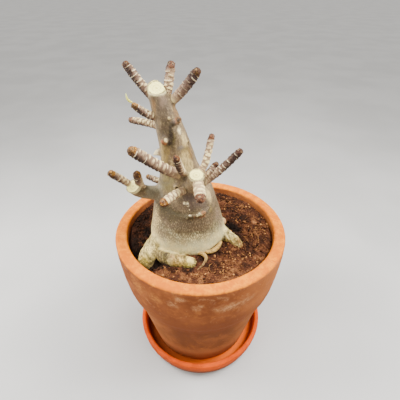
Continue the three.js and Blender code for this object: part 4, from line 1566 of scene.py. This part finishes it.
def makeFibres():
    heap = Heap(loose["fibres"])
    rng = heap.rng
    for x, y in heap.places:
        long, spin, bend = rng.uniform(3, 11), rng.uniform(0, 2 * math.pi), rng.normal(0, 0.07)
        t = np.linspace(-0.5, 0.5, 9) * long
        heading = spin + bend * t
        line = np.stack([x + t * np.cos(heading), y + t * np.sin(heading)], 1)
        if np.hypot(line[:, 0], line[:, 1]).max() > heap.reach:
            continue
        z = soilHeight(line[:, 0], line[:, 1]) + 0.3 + 0.8 * np.sin(t / long * 5 + rng.uniform(0, 6))
        line = np.column_stack([line, z])
        if not heap.clear(line, 0.6):
            continue
        radius = rng.uniform(0.1, 0.2) * np.sqrt(np.clip(1.02 - (2 * t / long) ** 2, 0.05, 1))
        # fibres in the hollows are darker: painted shade
        heap.add(*sweep(line, radius, 5), rng.uniform(0.4, 0.9) - 0.1 * max(hollowDepth(x, y), 0))
    return heap.make("coirFibres")


def paintCoir():
    p = Paint("coir", {})
    speckle = p.noise(1.1, 5, rough=0.7)
    x, y = p.coordinate("X"), p.coordinate("Y")
    # paler in front, where the coir is drier and painted light falls, paler at the right with painted light,
    # and darker at the left with painted shade
    lightShadeAndDryness = p.ease(y, -62, -34, 0.2, 0) - p.ease(x, -62, -40, 0.2, 0) + p.ease(x, 38, 60, 0, 0.14)
    colour = p.ramp(p.mark("tone") + (speckle - 0.5) * 1.1 + (p.noise(9, 3) - 0.5) * 0.35 + lightShadeAndDryness, coirStops)
    normal = p.bump(p.noise(0.5, 4, rough=0.7), 0.3)
    rough = p.ease(speckle, 0.3, 0.7, 0.8, 1)
    return p.finish(Base_Color=colour, Roughness=rough, Normal=normal, Specular_IOR_Level=0.1)


def makeCoir():
    material = paintCoir()
    finishPiece(makeSoil(), material, "coir", "soil")
    for made in (makeCrumbs(), makeChips(), makeFibres()):
        finishPiece(made, material, "coir")


# Floor, lights and camera

studio = {
    "lens": 27, "sensor": 36, "cameraAt": (-0.5, -234, 365.4), "lookDown": 35.8, "sky": 0.45, "floor": 16000,
    "sun": {"from": (190, 30, 900), "strength": 3.2, "soft": 40}, "aim": (0, 0, 150),
    # where each soft light is, its size and its power
    "lights": [
        ((420, 0, 650), 320, 9.4), ((-420, 0, 650), 320, 7.6), ((-520, 90, 300), 320, 1.7),
        ((-450, -350, 350), 300, 1.8), ((400, -400, 400), 300, 1.15),
    ],
}


def makeFloor():
    half = studio["floor"]
    corners = [(-half, -half, 0), (half, -half, 0), (half, half, 0), (-half, half, 0)]
    floor = newObject("floor", corners, [(0, 1, 2, 3)])
    p = Paint("paleFloor", {"low": "a9a7a3", "high": "b1afab"})
    soft = p.blend(p.ease(p.noise(220, 2), 0.35, 0.65), "low", "high")
    floor.data.materials.append(p.finish(Base_Color=soft, Roughness=0.6))


def makeLight(at, size, power):
    data = bpy.data.lights.new("softbox", "AREA")
    data.shape = "DISK"
    data.size = size * mm
    data.energy = power
    lamp = addObject("softbox", data)
    lamp.location = Vector(at) * mm
    aim = Vector(studio["aim"]) * mm - lamp.location
    lamp.rotation_euler = aim.to_track_quat("-Z", "Y").to_euler()


def makeSky():
    data = bpy.data.lights.new("skylight", "SUN")
    data.energy = studio["sun"]["strength"]
    data.angle = math.radians(studio["sun"]["soft"])
    skylight = addObject("skylight", data)
    skylight.rotation_euler = Vector(studio["sun"]["from"]).to_track_quat("Z", "Y").to_euler()
    world = bpy.data.worlds.new("studio")
    world.use_nodes = True
    sky = world.node_tree.nodes["Background"]
    sky.inputs["Color"].default_value = (1, 1, 1, 1)
    sky.inputs["Strength"].default_value = studio["sky"]
    bpy.context.scene.world = world


def makeCamera():
    data = bpy.data.cameras.new("camera")
    data.lens = studio["lens"]
    data.sensor_width = studio["sensor"]
    data.clip_start = 0.01
    camera = addObject("camera", data)
    camera.location = Vector(studio["cameraAt"]) * mm
    camera.rotation_euler = (math.radians(90 - studio["lookDown"]), 0, 0)
    bpy.context.scene.camera = camera


def makeStudio():
    makeFloor()
    for light in studio["lights"]:
        makeLight(*light)
    makeSky()
    makeCamera()


makeStudio()
print("studio set")
makePotAndSaucer()
makePlant()
makeLeaf()
makeCoir()
